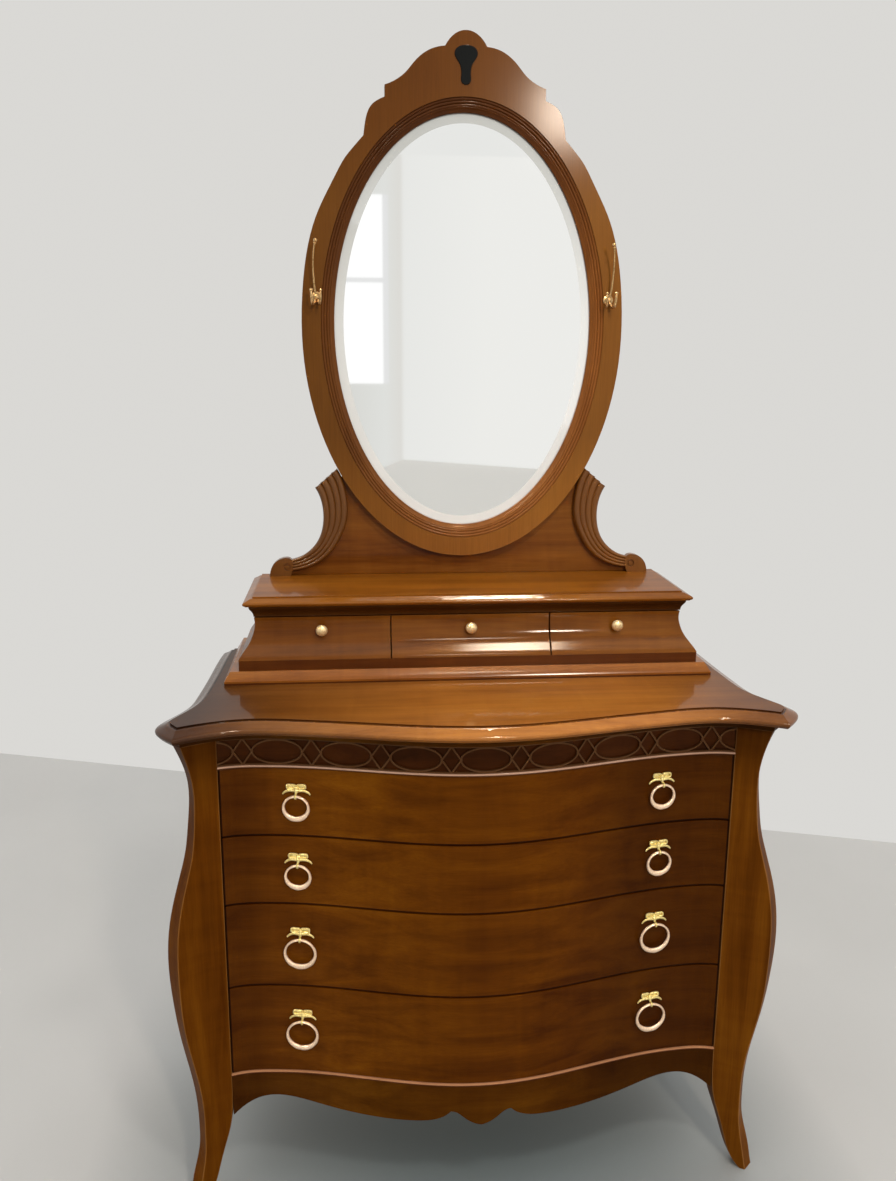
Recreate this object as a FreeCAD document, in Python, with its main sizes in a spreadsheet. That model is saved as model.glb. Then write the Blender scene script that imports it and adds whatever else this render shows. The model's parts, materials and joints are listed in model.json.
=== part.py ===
"""Serpentine chest of four long drawers with a three-drawer gallery and a fixed oval mirror.

Millimetres.  X runs to the right, Y to the back, Z up; the origin is on the floor under the
middle of the chest.  Driving sizes are in the sheet Sizes, places worked out from them are in
the sheet Layout.
"""
import FreeCAD
import Part
import math
import os
import re

DOC = FreeCAD.newDocument("dresser_with_mirror")

# ---------------------------------------------------------------- driving sizes

SIZES = (
    ("top_depth", 465, "chest top, front of the bow to the back"),
    ("top_thickness", 20, "chest top board"),
    ("top_field_step", 2.5, "field of the top stands above its thumb edge"),
    ("thumb_width", 22, "width of the thumb edge of the chest top"),
    ("cove_height", 22, "cove moulding under the chest top"),
    ("frieze_height", 46, "frieze, middle of its bead to the cove moulding"),
    ("case_margin", 2, "foot of the cove moulding stands past the case"),
    ("nose_quirk", 7, "top board stands past the cove moulding"),
    ("opening_width", 820, "between the front posts"),
    ("front_setback", 101, "from the front of the bow back to the drawer ends"),
    ("bow_depth", 56, "serpentine: middle stands ahead of the drawer ends"),
    ("hollow_depth", 6, "serpentine: hollows lie behind the drawer ends"),
    ("hollow_inset", 35, "serpentine: hollows are this far in from the ends"),
    ("tip_reach", 84, "chest top, tips stand out past the drawer opening"),
    ("corner_reach", 51, "chest top, front corners past the drawer opening"),
    ("corner_lead", 81, "chest top, front corners ahead of the drawer ends"),
    ("side_reach", 44, "chest top, straight sides past the drawer opening"),
    ("back_reach", 33, "chest top, back corners past the drawer opening"),
    ("apron_line", 224, "middle of the bead over the apron"),
    ("drawer_4_pitch", 160, "bottom drawer, line to line"),
    ("drawer_3_pitch", 147, "third drawer, line to line"),
    ("drawer_2_pitch", 118, "second drawer, line to line"),
    ("drawer_1_pitch", 117, "top drawer, line to line"),
    ("bead_height", 4, "beads under the frieze and over the apron"),
    ("bead_proud", 2, "beads stand proud of the fronts"),
    ("fret_thickness", 4, "fretwork on the frieze"),
    ("fret_border", 2.2, "borders of the fretwork"),
    ("fret_band", 2.6, "bars and rings of the fretwork"),
    ("front_thickness", 28, "drawer fronts, from the end of the curve to the flat back"),
    ("front_gap", 2.2, "gap round each drawer front"),
    ("slide_gap", 0.2, "drawer over its runners"),
    ("box_play", 2, "drawer box to the post each side"),
    ("box_wall", 12, "drawer sides and backs"),
    ("box_bottom", 8, "drawer bottoms"),
    ("box_clear", 6, "long drawer boxes ahead of the rear posts"),
    ("rail_thickness", 18, "rails between the drawers"),
    ("rail_depth", 60, "rails between the drawers, front to back"),
    ("runner_width", 27, "drawer runners"),
    ("bottom_thickness", 12, "bottom board"),
    ("bottom_drop", 8.5, "bottom board under the bead over the apron"),
    ("apron_depth", 77, "apron at the posts, bead to lower edge"),
    ("apron_arch", 31, "apron, rise of the side arches above its ends"),
    ("post_depth", 55, "front posts, drawer ends to their backs"),
    ("post_rake", 0.51, "front posts, lead per millimetre outwards"),
    ("post_cant", 26, "front posts, depth of the canted side face"),
    ("side_thickness", 12, "side panels"),
    ("side_inset", 3, "side panels, inner face outside the drawer opening"),
    ("rear_post_width", 30, "rear posts"),
    ("rear_post_depth", 34, "rear posts"),
    ("back_thickness", 6, "back panel"),
    ("back_clear", 4, "rear posts ahead of the back edge of the top"),
    ("ring_small", 44, "outer diameter of the rings on the upper drawers"),
    ("ring_large", 54, "outer diameter of the rings on the lower drawers"),
    ("ring_top", 4, "ring, radial width at the top"),
    ("ring_side", 4.5, "ring, radial width at the sides"),
    ("ring_bottom", 8.8, "ring, radial width at the bottom"),
    ("ring_depth", 5, "ring, front to back"),
    ("ring_round", 1.6, "ring, rounding of its edges"),
    ("ring_inset", 120, "rings in from the ends of the drawer opening"),
    ("ring_stand", 9, "ring axis ahead of the drawer front"),
    ("ring_drop", 10, "ring axis under the middle of its bow"),
    ("eye_play", 0.5, "eye round the ring"),
    ("eye_wall", 2, "metal round the eye"),
    ("eye_width", 5, "eye along the ring"),
    ("bow_clear", 0.65, "flat back of a bow ahead of the hollow front"),
    ("bow_rise_1", 81, "bows above the lower line of the top drawer"),
    ("bow_rise_2", 82, "bows above the lower line of the second drawer"),
    ("bow_rise_3", 99, "bows above the lower line of the third drawer"),
    ("bow_rise_4", 110, "bows above the bead over the apron"),
    ("bow_width", 47, "ribbon bow"),
    ("bow_height", 20, "ribbon bow"),
    ("bow_thickness", 3, "ribbon bow"),
    ("gallery_width", 826, "gallery base board"),
    ("gallery_setback", 140, "gallery base board behind the drawer ends"),
    ("gallery_base_thickness", 20.5, "gallery base board"),
    ("gallery_base_edge", 6, "upright lower edge of the gallery base board"),
    ("gallery_foot_inset", 22.5, "foot of the gallery case in from the base board"),
    ("gallery_foot_height", 17, "plain foot of the gallery case"),
    ("gallery_lead", 11, "foot of the gallery case behind the front of its base"),
    ("gallery_case_height", 70, "moulded part of the gallery case"),
    ("gallery_hollow", 27, "depth of the hollow of the gallery case"),
    ("gallery_front_flat", 46, "gallery fronts, foot of the curve to the flat back"),
    ("gallery_split", 272, "width of the middle gallery drawer"),
    ("gallery_wall", 10, "gallery partitions and back"),
    ("gallery_side_wall", 12, "gallery sides at their waist"),
    ("cornice_height", 19, "cornice under the gallery top"),
    ("cornice_reach", 7, "cornice past the gallery case"),
    ("gallery_top_thickness", 15, "gallery top board"),
    ("gallery_top_width", 762, "gallery top board"),
    ("gallery_top_back", 9.5, "gallery top behind the foot of the case"),
    ("tray_wall", 8, "small drawer sides"),
    ("tray_clear", 18, "small drawer trays ahead of the gallery back"),
    ("knob_diameter", 20, "knobs"),
    ("knob_length", 18, "knobs"),
    ("knob_shank", 7, "knob shanks"),
    ("knob_root", 14, "knob shanks inside the drawer front"),
    ("knob_fit", 0.1, "hole round the knob shank"),
    ("knob_height", 47, "knobs above the foot of the moulded gallery case"),
    ("knob_inset", 116, "outer knobs past the ends of the middle drawer"),
    ("mirror_rise", 441.5, "middle of the mirror above the gallery top"),
    ("sight_width", 450, "mirror inside the frame"),
    ("sight_height", 698, "mirror inside the frame"),
    ("reed_band", 23, "reeded inner moulding of the frame"),
    ("frame_width", 562, "mirror frame"),
    ("frame_height", 810, "oval of the mirror frame"),
    ("frame_thickness", 20, "mirror frame"),
    ("glass_thickness", 5, "mirror glass"),
    ("glass_rebate", 12, "front of the frame to the front of the glass"),
    ("glass_lap", 8, "glass behind the inner moulding"),
    ("glass_bevel", 16, "width of the bevel inside the inner moulding"),
    ("glass_edge", 3, "thickness left at the edge of the bevel"),
    ("support_thickness", 12, "board that carries the mirror"),
    ("crest_rise", 473, "top of the crest above the middle of the mirror"),
    ("scroll_thickness", 10, "scroll brackets under their reeds"),
    ("volute_proud", 3, "volute proud of the ground of its scroll"),
    ("volute_width", 42, "volute at the foot of a scroll bracket"),
    ("volute_rise", 34, "volute, its top above the gallery top"),
    ("volute_eye", 14, "sunk eye of a volute"),
    ("volute_inset", 63, "necks of the scrolls in from the ends of the gallery top"),
    ("drop_head", 38, "ebonised drop on the crest, width of its head"),
    ("drop_stem", 16, "ebonised drop on the crest, width of its stem"),
    ("drop_length", 60, "ebonised drop on the crest"),
    ("drop_top", 23, "ebonised drop under the top of the crest"),
    ("drop_sunk", 3, "recess that holds the drop"),
    ("drop_proud", 2, "drop stands proud of the crest"),
    ("drop_play", 0.3, "recess round the drop"),
    ("hook_margin", 6, "mirror hooks out from the inner moulding"),
    ("hook_height", 48, "hook plates above the middle of the mirror"),
    ("hook_reach", 34, "hooks ahead of the frame"),
    ("hook_rise", 89, "long arm of a hook above its plate"),
)

# places worked out from the sizes
LAYOUT = (
    ("half_opening", "opening_width / 2"),
    ("front_line", "front_setback - top_depth / 2"),
    ("back_line", "top_depth / 2"),
    ("line_3", "apron_line + drawer_4_pitch"),
    ("line_2", "line_3 + drawer_3_pitch"),
    ("line_1", "line_2 + drawer_2_pitch"),
    ("frieze_line", "line_1 + drawer_1_pitch"),
    ("case_top", "frieze_line + frieze_height"),
    ("top_under", "case_top + cove_height"),
    ("chest_height", "top_under + top_thickness"),
    ("fronts_back", "front_line + front_thickness"),
    ("rail_front", "fronts_back + 1"),
    ("rail_back", "rail_front + rail_depth"),
    ("post_back", "front_line + post_depth"),
    ("side_inner", "half_opening + side_inset"),
    ("side_outer", "side_inner + side_thickness"),
    ("rear_post_back", "back_line - back_clear"),
    ("rear_post_front", "rear_post_back - rear_post_depth"),
    ("rear_post_outer", "side_outer + side_inset"),
    ("rear_post_inner", "rear_post_outer - rear_post_width"),
    ("floor_top", "apron_line - bottom_drop"),
    ("box_half", "half_opening - box_play"),
    ("box_depth", "rear_post_front - box_clear - fronts_back"),
    ("ring_spread", "half_opening - ring_inset"),
    ("base_top", "chest_height + gallery_base_thickness"),
    ("gallery_front", "front_line + gallery_setback"),
    ("foot_half", "gallery_width / 2 - gallery_foot_inset"),
    ("foot_front", "gallery_front + gallery_lead"),
    ("case_foot", "base_top + gallery_foot_height"),
    ("case_head", "case_foot + gallery_case_height"),
    ("waist_half", "foot_half - gallery_hollow"),
    ("small_back", "foot_front + gallery_front_flat"),
    ("gallery_inner", "waist_half - gallery_side_wall"),
    ("gallery_back_face", "back_line - gallery_wall"),
    ("tray_depth", "gallery_back_face - tray_clear - small_back"),
    ("knob_spread", "gallery_split / 2 + knob_inset"),
    ("gallery_top_under", "case_head + cornice_height"),
    ("gallery_top_face", "gallery_top_under + gallery_top_thickness"),
    ("support_front", "back_line - support_thickness"),
    ("frame_front", "support_front - frame_thickness"),
    ("mirror_height", "gallery_top_face + mirror_rise"),
    ("crest_height", "mirror_height + crest_rise"),
    ("volute_spread", "gallery_top_width / 2 - volute_inset"),
    ("volute_centre", "volute_spread + volute_width / 4"),
    ("hook_spread", "sight_width / 2 + reed_band + hook_margin"),
    ("glass_front", "frame_front + glass_rebate"),
    ("glass_back", "glass_front + glass_thickness"),
)


def make_sheet(name, rows):
    """A sheet with one alias per row; the rows hold plain numbers or formulas."""
    sheet = DOC.addObject("Spreadsheet::Sheet", name)
    for number, (alias, content, note) in enumerate(rows, start=1):
        sheet.set(f"A{number}", alias)
        sheet.set(f"B{number}", content)
        sheet.set(f"C{number}", note)
        sheet.setAlias(f"B{number}", alias)
    return sheet


SIZE_NAMES = {row[0] for row in SIZES}
LAYOUT_NAMES = {row[0] for row in LAYOUT}


def bound(text):
    """Turn a formula on aliases into a FreeCAD expression on the two sheets."""
    def sheet_of(match):
        word = match.group(0)
        if word in SIZE_NAMES:
            return "Sizes." + word
        if word in LAYOUT_NAMES:
            return "Layout." + word
        return word
    return re.sub(r"[a-z_][a-z_0-9]*", sheet_of, text)


SIZE_SHEET = make_sheet("Sizes", [(alias, str(value), note) for alias, value, note in SIZES])
DOC.recompute()
LAYOUT_SHEET = make_sheet("Layout", [(alias, "=" + bound(formula), formula) for alias, formula in LAYOUT])
DOC.recompute()


class Dimensions:
    """Reads a size or a place from the sheets by its alias."""

    def __getattr__(self, alias):
        sheet = SIZE_SHEET if alias in SIZE_NAMES else LAYOUT_SHEET
        return float(sheet.get(alias))


D = Dimensions()

# ---------------------------------------------------------------- helpers


def vec(x, y, z=0.0):
    return FreeCAD.Vector(x, y, z)


def place(x=0.0, y=0.0, z=0.0, turn=0.0):
    """A placement turned by so many degrees about Z."""
    return FreeCAD.Placement(vec(x, y, z), FreeCAD.Rotation(vec(0, 0, 1), turn))


NODES = []


def node(thing, label):
    """Name an object as a sub-part of its own."""
    thing.Label = label
    NODES.append(thing)
    return thing


def new_body(label):
    return node(DOC.addObject("PartDesign::Body", label), label)


def set_sizes(thing, **formulas):
    for name, formula in formulas.items():
        thing.setExpression(name.replace("__", "."), bound(formula))


def origin_plane(body, role):
    return next(item for item in body.Origin.OriginFeatures if item.Role == role)


def new_sketch(body, plane, curves, lift="0"):
    """A sketch of closed curves on an origin plane, lifted along the plane's normal."""
    sketch = body.newObject("Sketcher::SketchObject", body.Name + "_sketch")
    sketch.AttachmentSupport = [(origin_plane(body, plane), "")]
    sketch.MapMode = "FlatFace"
    set_sizes(sketch, AttachmentOffset__Base__z=lift)
    sketch.addGeometry(curves, False)
    return sketch


def pad(body, plane, curves, lift, length):
    """Pad curves along the plane's normal; lift and length are formulas."""
    feature = body.newObject("PartDesign::Pad", body.Name + "_pad")
    feature.Profile = new_sketch(body, plane, curves, lift)
    set_sizes(feature, Length=length)
    return feature


def pocket(body, plane, curves, lift, length):
    """Cut curves out against the plane's normal; lift and length are formulas."""
    feature = body.newObject("PartDesign::Pocket", body.Name + "_pocket")
    feature.Profile = new_sketch(body, plane, curves, lift)
    set_sizes(feature, Length=length)
    return feature


def loft(body, plane, sections, ruled=False):
    """Loft closed outlines given as (height, curves)."""
    feature = body.newObject("PartDesign::AdditiveLoft", body.Name + "_loft")
    sketches = [new_sketch(body, plane, curves, f"{height:.4f}") for height, curves in sections]
    feature.Profile = sketches[0]
    feature.Sections = sketches[1:]
    feature.Ruled = ruled
    return feature


def board(label, corner, sides, own_node=True):
    """A plain board: corner and sides are formulas on the sheets."""
    box = DOC.addObject("Part::Box", label)
    set_sizes(box, Length=sides[0], Width=sides[1], Height=sides[2])
    set_sizes(box, Placement__Base__x=corner[0], Placement__Base__y=corner[1],
              Placement__Base__z=corner[2])
    return node(box, label) if own_node else box


def group(label, pieces):
    """Separate solids that share one node."""
    compound = DOC.addObject("Part::Compound", label)
    compound.Links = pieces
    return node(compound, label)


def mirrored(source, label):
    """The left-hand twin of a right-hand piece."""
    twin = DOC.addObject("Part::Mirroring", label)
    twin.Source = source
    twin.Normal = vec(1, 0, 0)
    return node(twin, label)


def polyline(points, closed=True):
    ends = points[1:] + points[:1] if closed else points[1:]
    return [Part.LineSegment(a, b) for a, b in zip(points, ends)]


def rectangle(x0, y0, x1, y1):
    return polyline([vec(x0, y0), vec(x1, y0), vec(x1, y1), vec(x0, y1)])


def spline(points):
    curve = Part.BSplineCurve()
    curve.interpolate(points)
    return curve


def three_point(a, b, c):
    return Part.Arc(a, b, c)


def ellipse(centre_z, width, height):
    """An upright ellipse in a sketch whose axes are X and Z."""
    curve = Part.Ellipse(vec(0, 0), height / 2, width / 2)
    curve.rotate(FreeCAD.Placement(vec(0, 0), FreeCAD.Rotation(vec(0, 0, 1), 90)))
    curve.translate(vec(0, centre_z))
    return curve


def blend(table, height):
    """Value at a height from (height, value) pairs, on straight lines between them."""
    for (low, first), (high, second) in zip(table, table[1:]):
        if height <= high:
            share = max(0.0, (height - low) / (high - low))
            return first + (second - first) * share
    return table[-1][1]


# ---------------------------------------------------------------- the serpentine front


def serpentine_y(x):
    """Front face of the drawers: a bow in the middle, a hollow near each end."""
    hollow_x = D.half_opening - D.hollow_inset
    distance = min(abs(x), D.half_opening)
    if distance < hollow_x:
        swing = (1 - math.cos(math.pi * distance / hollow_x)) / 2
        return D.front_line - D.bow_depth + (D.bow_depth + D.hollow_depth) * swing
    rest = (distance - hollow_x) / D.hollow_inset
    return D.front_line + D.hollow_depth * (1 - rest * rest)


def serpentine(half_width, shift):
    """The front curve between two ends, moved forwards or back."""
    count = 24
    xs = [half_width * (2 * step / count - 1) for step in range(count + 1)]
    return spline([vec(x, serpentine_y(x) + shift) for x in xs])


def serpentine_panel(half_width, shift, back):
    """Closed plan outline: serpentine front, straight ends, flat back."""
    left = vec(-half_width, serpentine_y(half_width) + shift)
    right = vec(half_width, serpentine_y(half_width) + shift)
    return [serpentine(half_width, shift)] + polyline(
        [right, vec(half_width, back), vec(-half_width, back), left], closed=False)


def serpentine_strip(half_width, front_shift, back_shift):
    """Closed plan outline of a strip with both long sides serpentine."""
    end = serpentine_y(half_width)
    front = serpentine(half_width, front_shift)
    rear = serpentine(half_width, back_shift)
    caps = []
    for side in (-1, 1):
        x = side * half_width
        caps.append(Part.LineSegment(vec(x, end + front_shift), vec(x, end + back_shift)))
    return [front, rear] + caps


# ---------------------------------------------------------------- moulded boards


def inset_chains(chains, insets):
    """Move each chain of points inwards by its own inset and keep the chains joined.

    The chains run round the outline with the inside on their left.
    """
    normals = []
    for chain in chains:
        if len(chain) == 2:
            step = chain[1] - chain[0]
            tangents = [step, step]
        else:
            curve = spline(chain)
            tangents = [curve.tangent(curve.parameter(point))[0] for point in chain]
        unit = [vec(t.x, t.y).normalize() for t in tangents]
        normals.append([vec(-t.y, t.x) for t in unit])
    moved = []
    for chain, normal, inset in zip(chains, normals, insets):
        moved.append([point + n * inset for point, n in zip(chain, normal)])
    for index in range(len(chains)):
        follower = (index + 1) % len(chains)
        first = normals[index][-1]
        second = normals[follower][0]
        determinant = first.x * second.y - first.y * second.x
        if abs(determinant) < 0.02:
            shift = first * insets[index]
        else:
            shift = vec((insets[index] * second.y - insets[follower] * first.y) / determinant,
                        (insets[follower] * first.x - insets[index] * second.x) / determinant)
        corner = chains[index][-1] + shift
        moved[index][-1] = corner
        moved[follower][0] = corner
    return moved


def chain_curves(chains):
    return [Part.LineSegment(chain[0], chain[1]) if len(chain) == 2 else spline(chain)
            for chain in chains]


def mirrored_chains(front_right, side_right):
    """Closed plan from its right half: front, right side, back, left side."""
    front = [vec(-x, y) for x, y in reversed(front_right[1:])] + [vec(x, y) for x, y in front_right]
    right = [vec(x, y) for x, y in side_right]
    left = [vec(-x, y) for x, y in reversed(side_right)]
    return [front, right, [right[-1], left[0]], left]


def top_chains():
    """Plan of the chest top: serpentine front, canted corners, hollow sides, straight back."""
    half = D.half_opening
    line = D.front_line
    back = D.back_line
    overhang = D.front_setback - D.bow_depth
    quarter = half / 2
    front_right = [
        (0, serpentine_y(0) - overhang),
        (quarter * 0.5, serpentine_y(quarter * 0.5) - overhang - 1),
        (quarter, serpentine_y(quarter) - overhang - 4),
        (quarter * 1.4, serpentine_y(quarter * 1.4) - overhang - 6),
        (half - 50, serpentine_y(half - 50) - overhang - 6),
        (half + 8, line - overhang - 14),
        (half + D.corner_reach, line - D.corner_lead),
    ]
    side_right = [
        (half + D.corner_reach, line - D.corner_lead),
        (half + D.tip_reach - 9, line - 52),
        (half + D.tip_reach, line - 30),
        (half + D.tip_reach - 6, line - 3),
        (half + D.tip_reach - 21, line + 28),
        (half + D.side_reach + 6, line + 62),
        (half + D.side_reach, line + 110),
        (half + (D.side_reach + D.back_reach) / 2, (line + 110 + back) / 2),
        (half + D.back_reach, back),
    ]
    return mirrored_chains(front_right, side_right)


def case_chains():
    """Plan of the case under the top, with as many points as the plan of the top."""
    half = D.half_opening
    line = D.front_line
    back = D.back_line
    margin = D.case_margin
    quarter = half / 2
    front_right = [(x, serpentine_y(x) - margin)
                   for x in (0, quarter * 0.5, quarter, quarter * 1.4, half - 50)]
    front_right += [(half + 8, line - margin - D.post_rake * 8),
                    (half + 50, line - margin - D.post_rake * 50)]
    side_right = [
        (half + 50, line - margin - D.post_rake * 50),
        (half + 62, line - 14),
        (half + 69 + margin, line + 1),
        (half + 61, line + 14),
        (half + 46, line + 30),
        (half + 28, line + 56),
        (half + 22, line + 100),
        (half + 21, (line + 110 + back) / 2),
        (half + 21, back),
    ]
    return mirrored_chains(front_right, side_right)


def mixed_chains(first, second, share):
    """Plan between two plans that have the same points."""
    return [[a + (b - a) * share for a, b in zip(one, two)] for one, two in zip(first, second)]


def rectangle_chains(half_width, front, back):
    corners = [vec(-half_width, front), vec(half_width, front), vec(half_width, back),
               vec(-half_width, back)]
    return [[a, b] for a, b in zip(corners, corners[1:] + corners[:1])]


def moulded_loft(body, chains, profile):
    """Loft one plan through (height, inset) pairs; the back edge stays where it is."""
    back_chain = 2
    sections = []
    for height, inset in profile:
        insets = [0 if index == back_chain else inset for index in range(len(chains))]
        sections.append((height, chain_curves(inset_chains(chains, insets))))
    return loft(body, "XY_Plane", sections)


def thumb_profile(under, step_height, width, quirk):
    """(height, inset) pairs of a thumb edge between an under face and a step."""
    rise = step_height - under
    return [(under, quirk * 0.6), (under + rise * 0.08, quirk * 0.52), (under + rise * 0.24, quirk * 0.1),
            (under + rise * 0.42, 0), (under + rise * 0.68, width * 0.22), (under + rise * 0.88, width * 0.6),
            (step_height, width * 0.95)]


def make_chest_top():
    body = new_body("chest_top")
    chains = top_chains()
    step = D.chest_height - D.top_field_step
    moulded_loft(body, chains, thumb_profile(D.top_under, step, D.thumb_width, D.nose_quirk))
    insets = [D.thumb_width, D.thumb_width, 0, D.thumb_width]
    field = chain_curves(inset_chains(chains, insets))
    pad(body, "XY_Plane", field, "chest_height - top_field_step", "top_field_step")


# share of the height, share of the way from the case to the top board
COVE_PROFILE = ((0.0, 0.0), (0.22, 0.04), (0.5, 0.24), (0.76, 0.62), (1.0, 1.0))


def make_top_moulding():
    """Cove moulding that carries the plan of the case out to the plan of the top."""
    body = new_body("top_moulding")
    quirk = [D.nose_quirk, D.nose_quirk, 0, D.nose_quirk]
    upper = inset_chains(top_chains(), quirk)
    lower = case_chains()
    sections = [(D.case_top + height * D.cove_height, chain_curves(mixed_chains(lower, upper, share)))
                for height, share in COVE_PROFILE]
    loft(body, "XY_Plane", sections)


# ---------------------------------------------------------------- posts and case

# front post: (height, arris outside the opening, width of the cant, leg edge outside the
# opening, back edge behind the drawer ends)
POST_SECTIONS = (
    (0, 60, 17, 52, 2),
    (24, 56, 17, 35, 6),
    (60, 50, 16, 24, 16),
    (100, 45, 13, 13, 30),
    (150, 44, 14, 2, 46),
    (200, 46, 16, 0, 55),
    (270, 56, 17, 0, 55),
    (350, 67, 17, 0, 55),
    (437, 70, 20, 0, 55),
    (520, 65, 18, 0, 55),
    (600, 48, 15, 0, 55),
    (669, 37, 14, 0, 55),
    (735, 35, 12, 0, 55),
    (785, 43, 15, 0, 55),
    (812, 50, 18, 0, 55),
)


def post_section(arris, cant, leg_edge, back):
    """Plan of a front post: front face, canted side, hollow flank, back, inner face."""
    half = D.half_opening
    line = D.front_line
    depth = D.post_cant * (0.6 + 0.4 * min(1.0, back / D.post_depth))
    inner = vec(half + leg_edge, line - D.post_rake * leg_edge)
    corner = vec(half + arris, line - D.post_rake * arris)
    tip = vec(half + arris + cant, corner.y + depth)
    heel = vec(half + min(leg_edge + 20, arris), line + back)
    inner_back = vec(half + leg_edge, line + back)
    hollow = (tip + heel) * 0.5 + vec(-3, -3)
    return [Part.LineSegment(inner, corner), Part.LineSegment(corner, tip), three_point(tip, hollow, heel),
            Part.LineSegment(heel, inner_back), Part.LineSegment(inner_back, inner)]


def make_front_posts():
    body = new_body("front_post_right")
    scale = D.case_top / POST_SECTIONS[-1][0]
    sections = [(height * scale, post_section(arris, cant, leg_edge, back))
                for height, arris, cant, leg_edge, back in POST_SECTIONS]
    loft(body, "XY_Plane", sections)
    half = D.half_opening
    rear = D.post_back
    far = half + D.post_depth * 2
    trim = [(half - 20, rear - 100), (half, rear - 100), (half, rear), (far, rear), (far, rear + 20),
            (half - 20, rear + 20)]
    pocket(body, "XY_Plane", polyline([vec(x, y) for x, y in trim]), "case_top", "case_top")
    mirrored(body, "front_post_left")


REAR_SECTIONS = ((0, 14, -12), (60, 8, -10), (130, 2, -4), (200, 0, 0), (812, 0, 0))


def make_rear_posts():
    """Straight posts whose feet sweep outwards and taper."""
    body = new_body("rear_post_right")
    scale = D.case_top / REAR_SECTIONS[-1][0]
    sections = []
    for height, sweep, taper in REAR_SECTIONS:
        outer = D.rear_post_outer + sweep
        inner = outer - D.rear_post_width - taper
        outline = rectangle(inner, D.rear_post_front - taper, outer, D.rear_post_back)
        sections.append((height * scale, outline))
    loft(body, "XY_Plane", sections, ruled=True)
    mirrored(body, "rear_post_left")


def make_side_panels():
    """Side panels with an arched lower edge."""
    body = new_body("side_panel_right")
    front = D.post_back
    rear = D.rear_post_front
    foot = D.apron_line - D.apron_depth
    crown = foot + D.apron_arch
    middle = (front + rear) / 2
    arch = three_point(vec(rear, foot), vec(middle, crown), vec(front, foot))
    sides = polyline([vec(front, foot), vec(front, D.case_top), vec(rear, D.case_top), vec(rear, foot)],
                     closed=False)
    pad(body, "YZ_Plane", sides + [arch], "side_inner", "side_thickness")
    mirrored(body, "side_panel_left")


def make_case_boards():
    board("back_panel",
          ("-rear_post_inner", "rear_post_back - back_thickness", "floor_top - bottom_thickness"),
          ("2 * rear_post_inner", "back_thickness", "case_top - floor_top + bottom_thickness"))
    body = new_body("bottom_board")
    half = D.half_opening
    notch = D.rear_post_inner
    front = D.fronts_back
    step = D.rear_post_front
    back = D.rear_post_back - D.back_thickness
    outline = [(-half, front), (half, front), (half, step), (notch, step), (notch, back), (-notch, back),
               (-notch, step), (-half, step)]
    pad(body, "XY_Plane", polyline([vec(x, y) for x, y in outline]), "floor_top - bottom_thickness",
        "bottom_thickness")


def make_drawer_frames():
    """Rails behind the fronts and the runners that carry the drawers."""
    pieces = []
    for line in ("line_3", "line_2", "line_1"):
        pieces.append(board("rail_" + line, ("-half_opening", "rail_front", line + " - rail_thickness / 2"),
                            ("opening_width", "rail_depth", "rail_thickness"), own_node=False))
        for side, start in (("left", "-side_inner"), ("right", "side_inner - runner_width")):
            pieces.append(board(f"runner_{line}_{side}", (start, "rail_back", line + " - rail_thickness / 2"),
                                ("runner_width", "rear_post_front - rail_back", "rail_thickness"),
                                own_node=False))
    for side, start in (("left", "-half_opening"), ("right", "half_opening - runner_width")):
        pieces.append(board(f"runner_floor_{side}", (start, "rail_front", "floor_top"),
                            ("runner_width", "rear_post_front - rail_front",
                             "apron_line + rail_thickness / 2 - floor_top"), own_node=False))
    group("drawer_frames", pieces)


def make_frieze():
    """Frieze rail, the fretwork on it and the bead under it."""
    half = D.half_opening
    rail = new_body("frieze_rail")
    pad(rail, "XY_Plane", serpentine_panel(half, D.fret_thickness, D.fronts_back),
        "frieze_line - bead_height / 2", "case_top - frieze_line + bead_height / 2")


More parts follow.
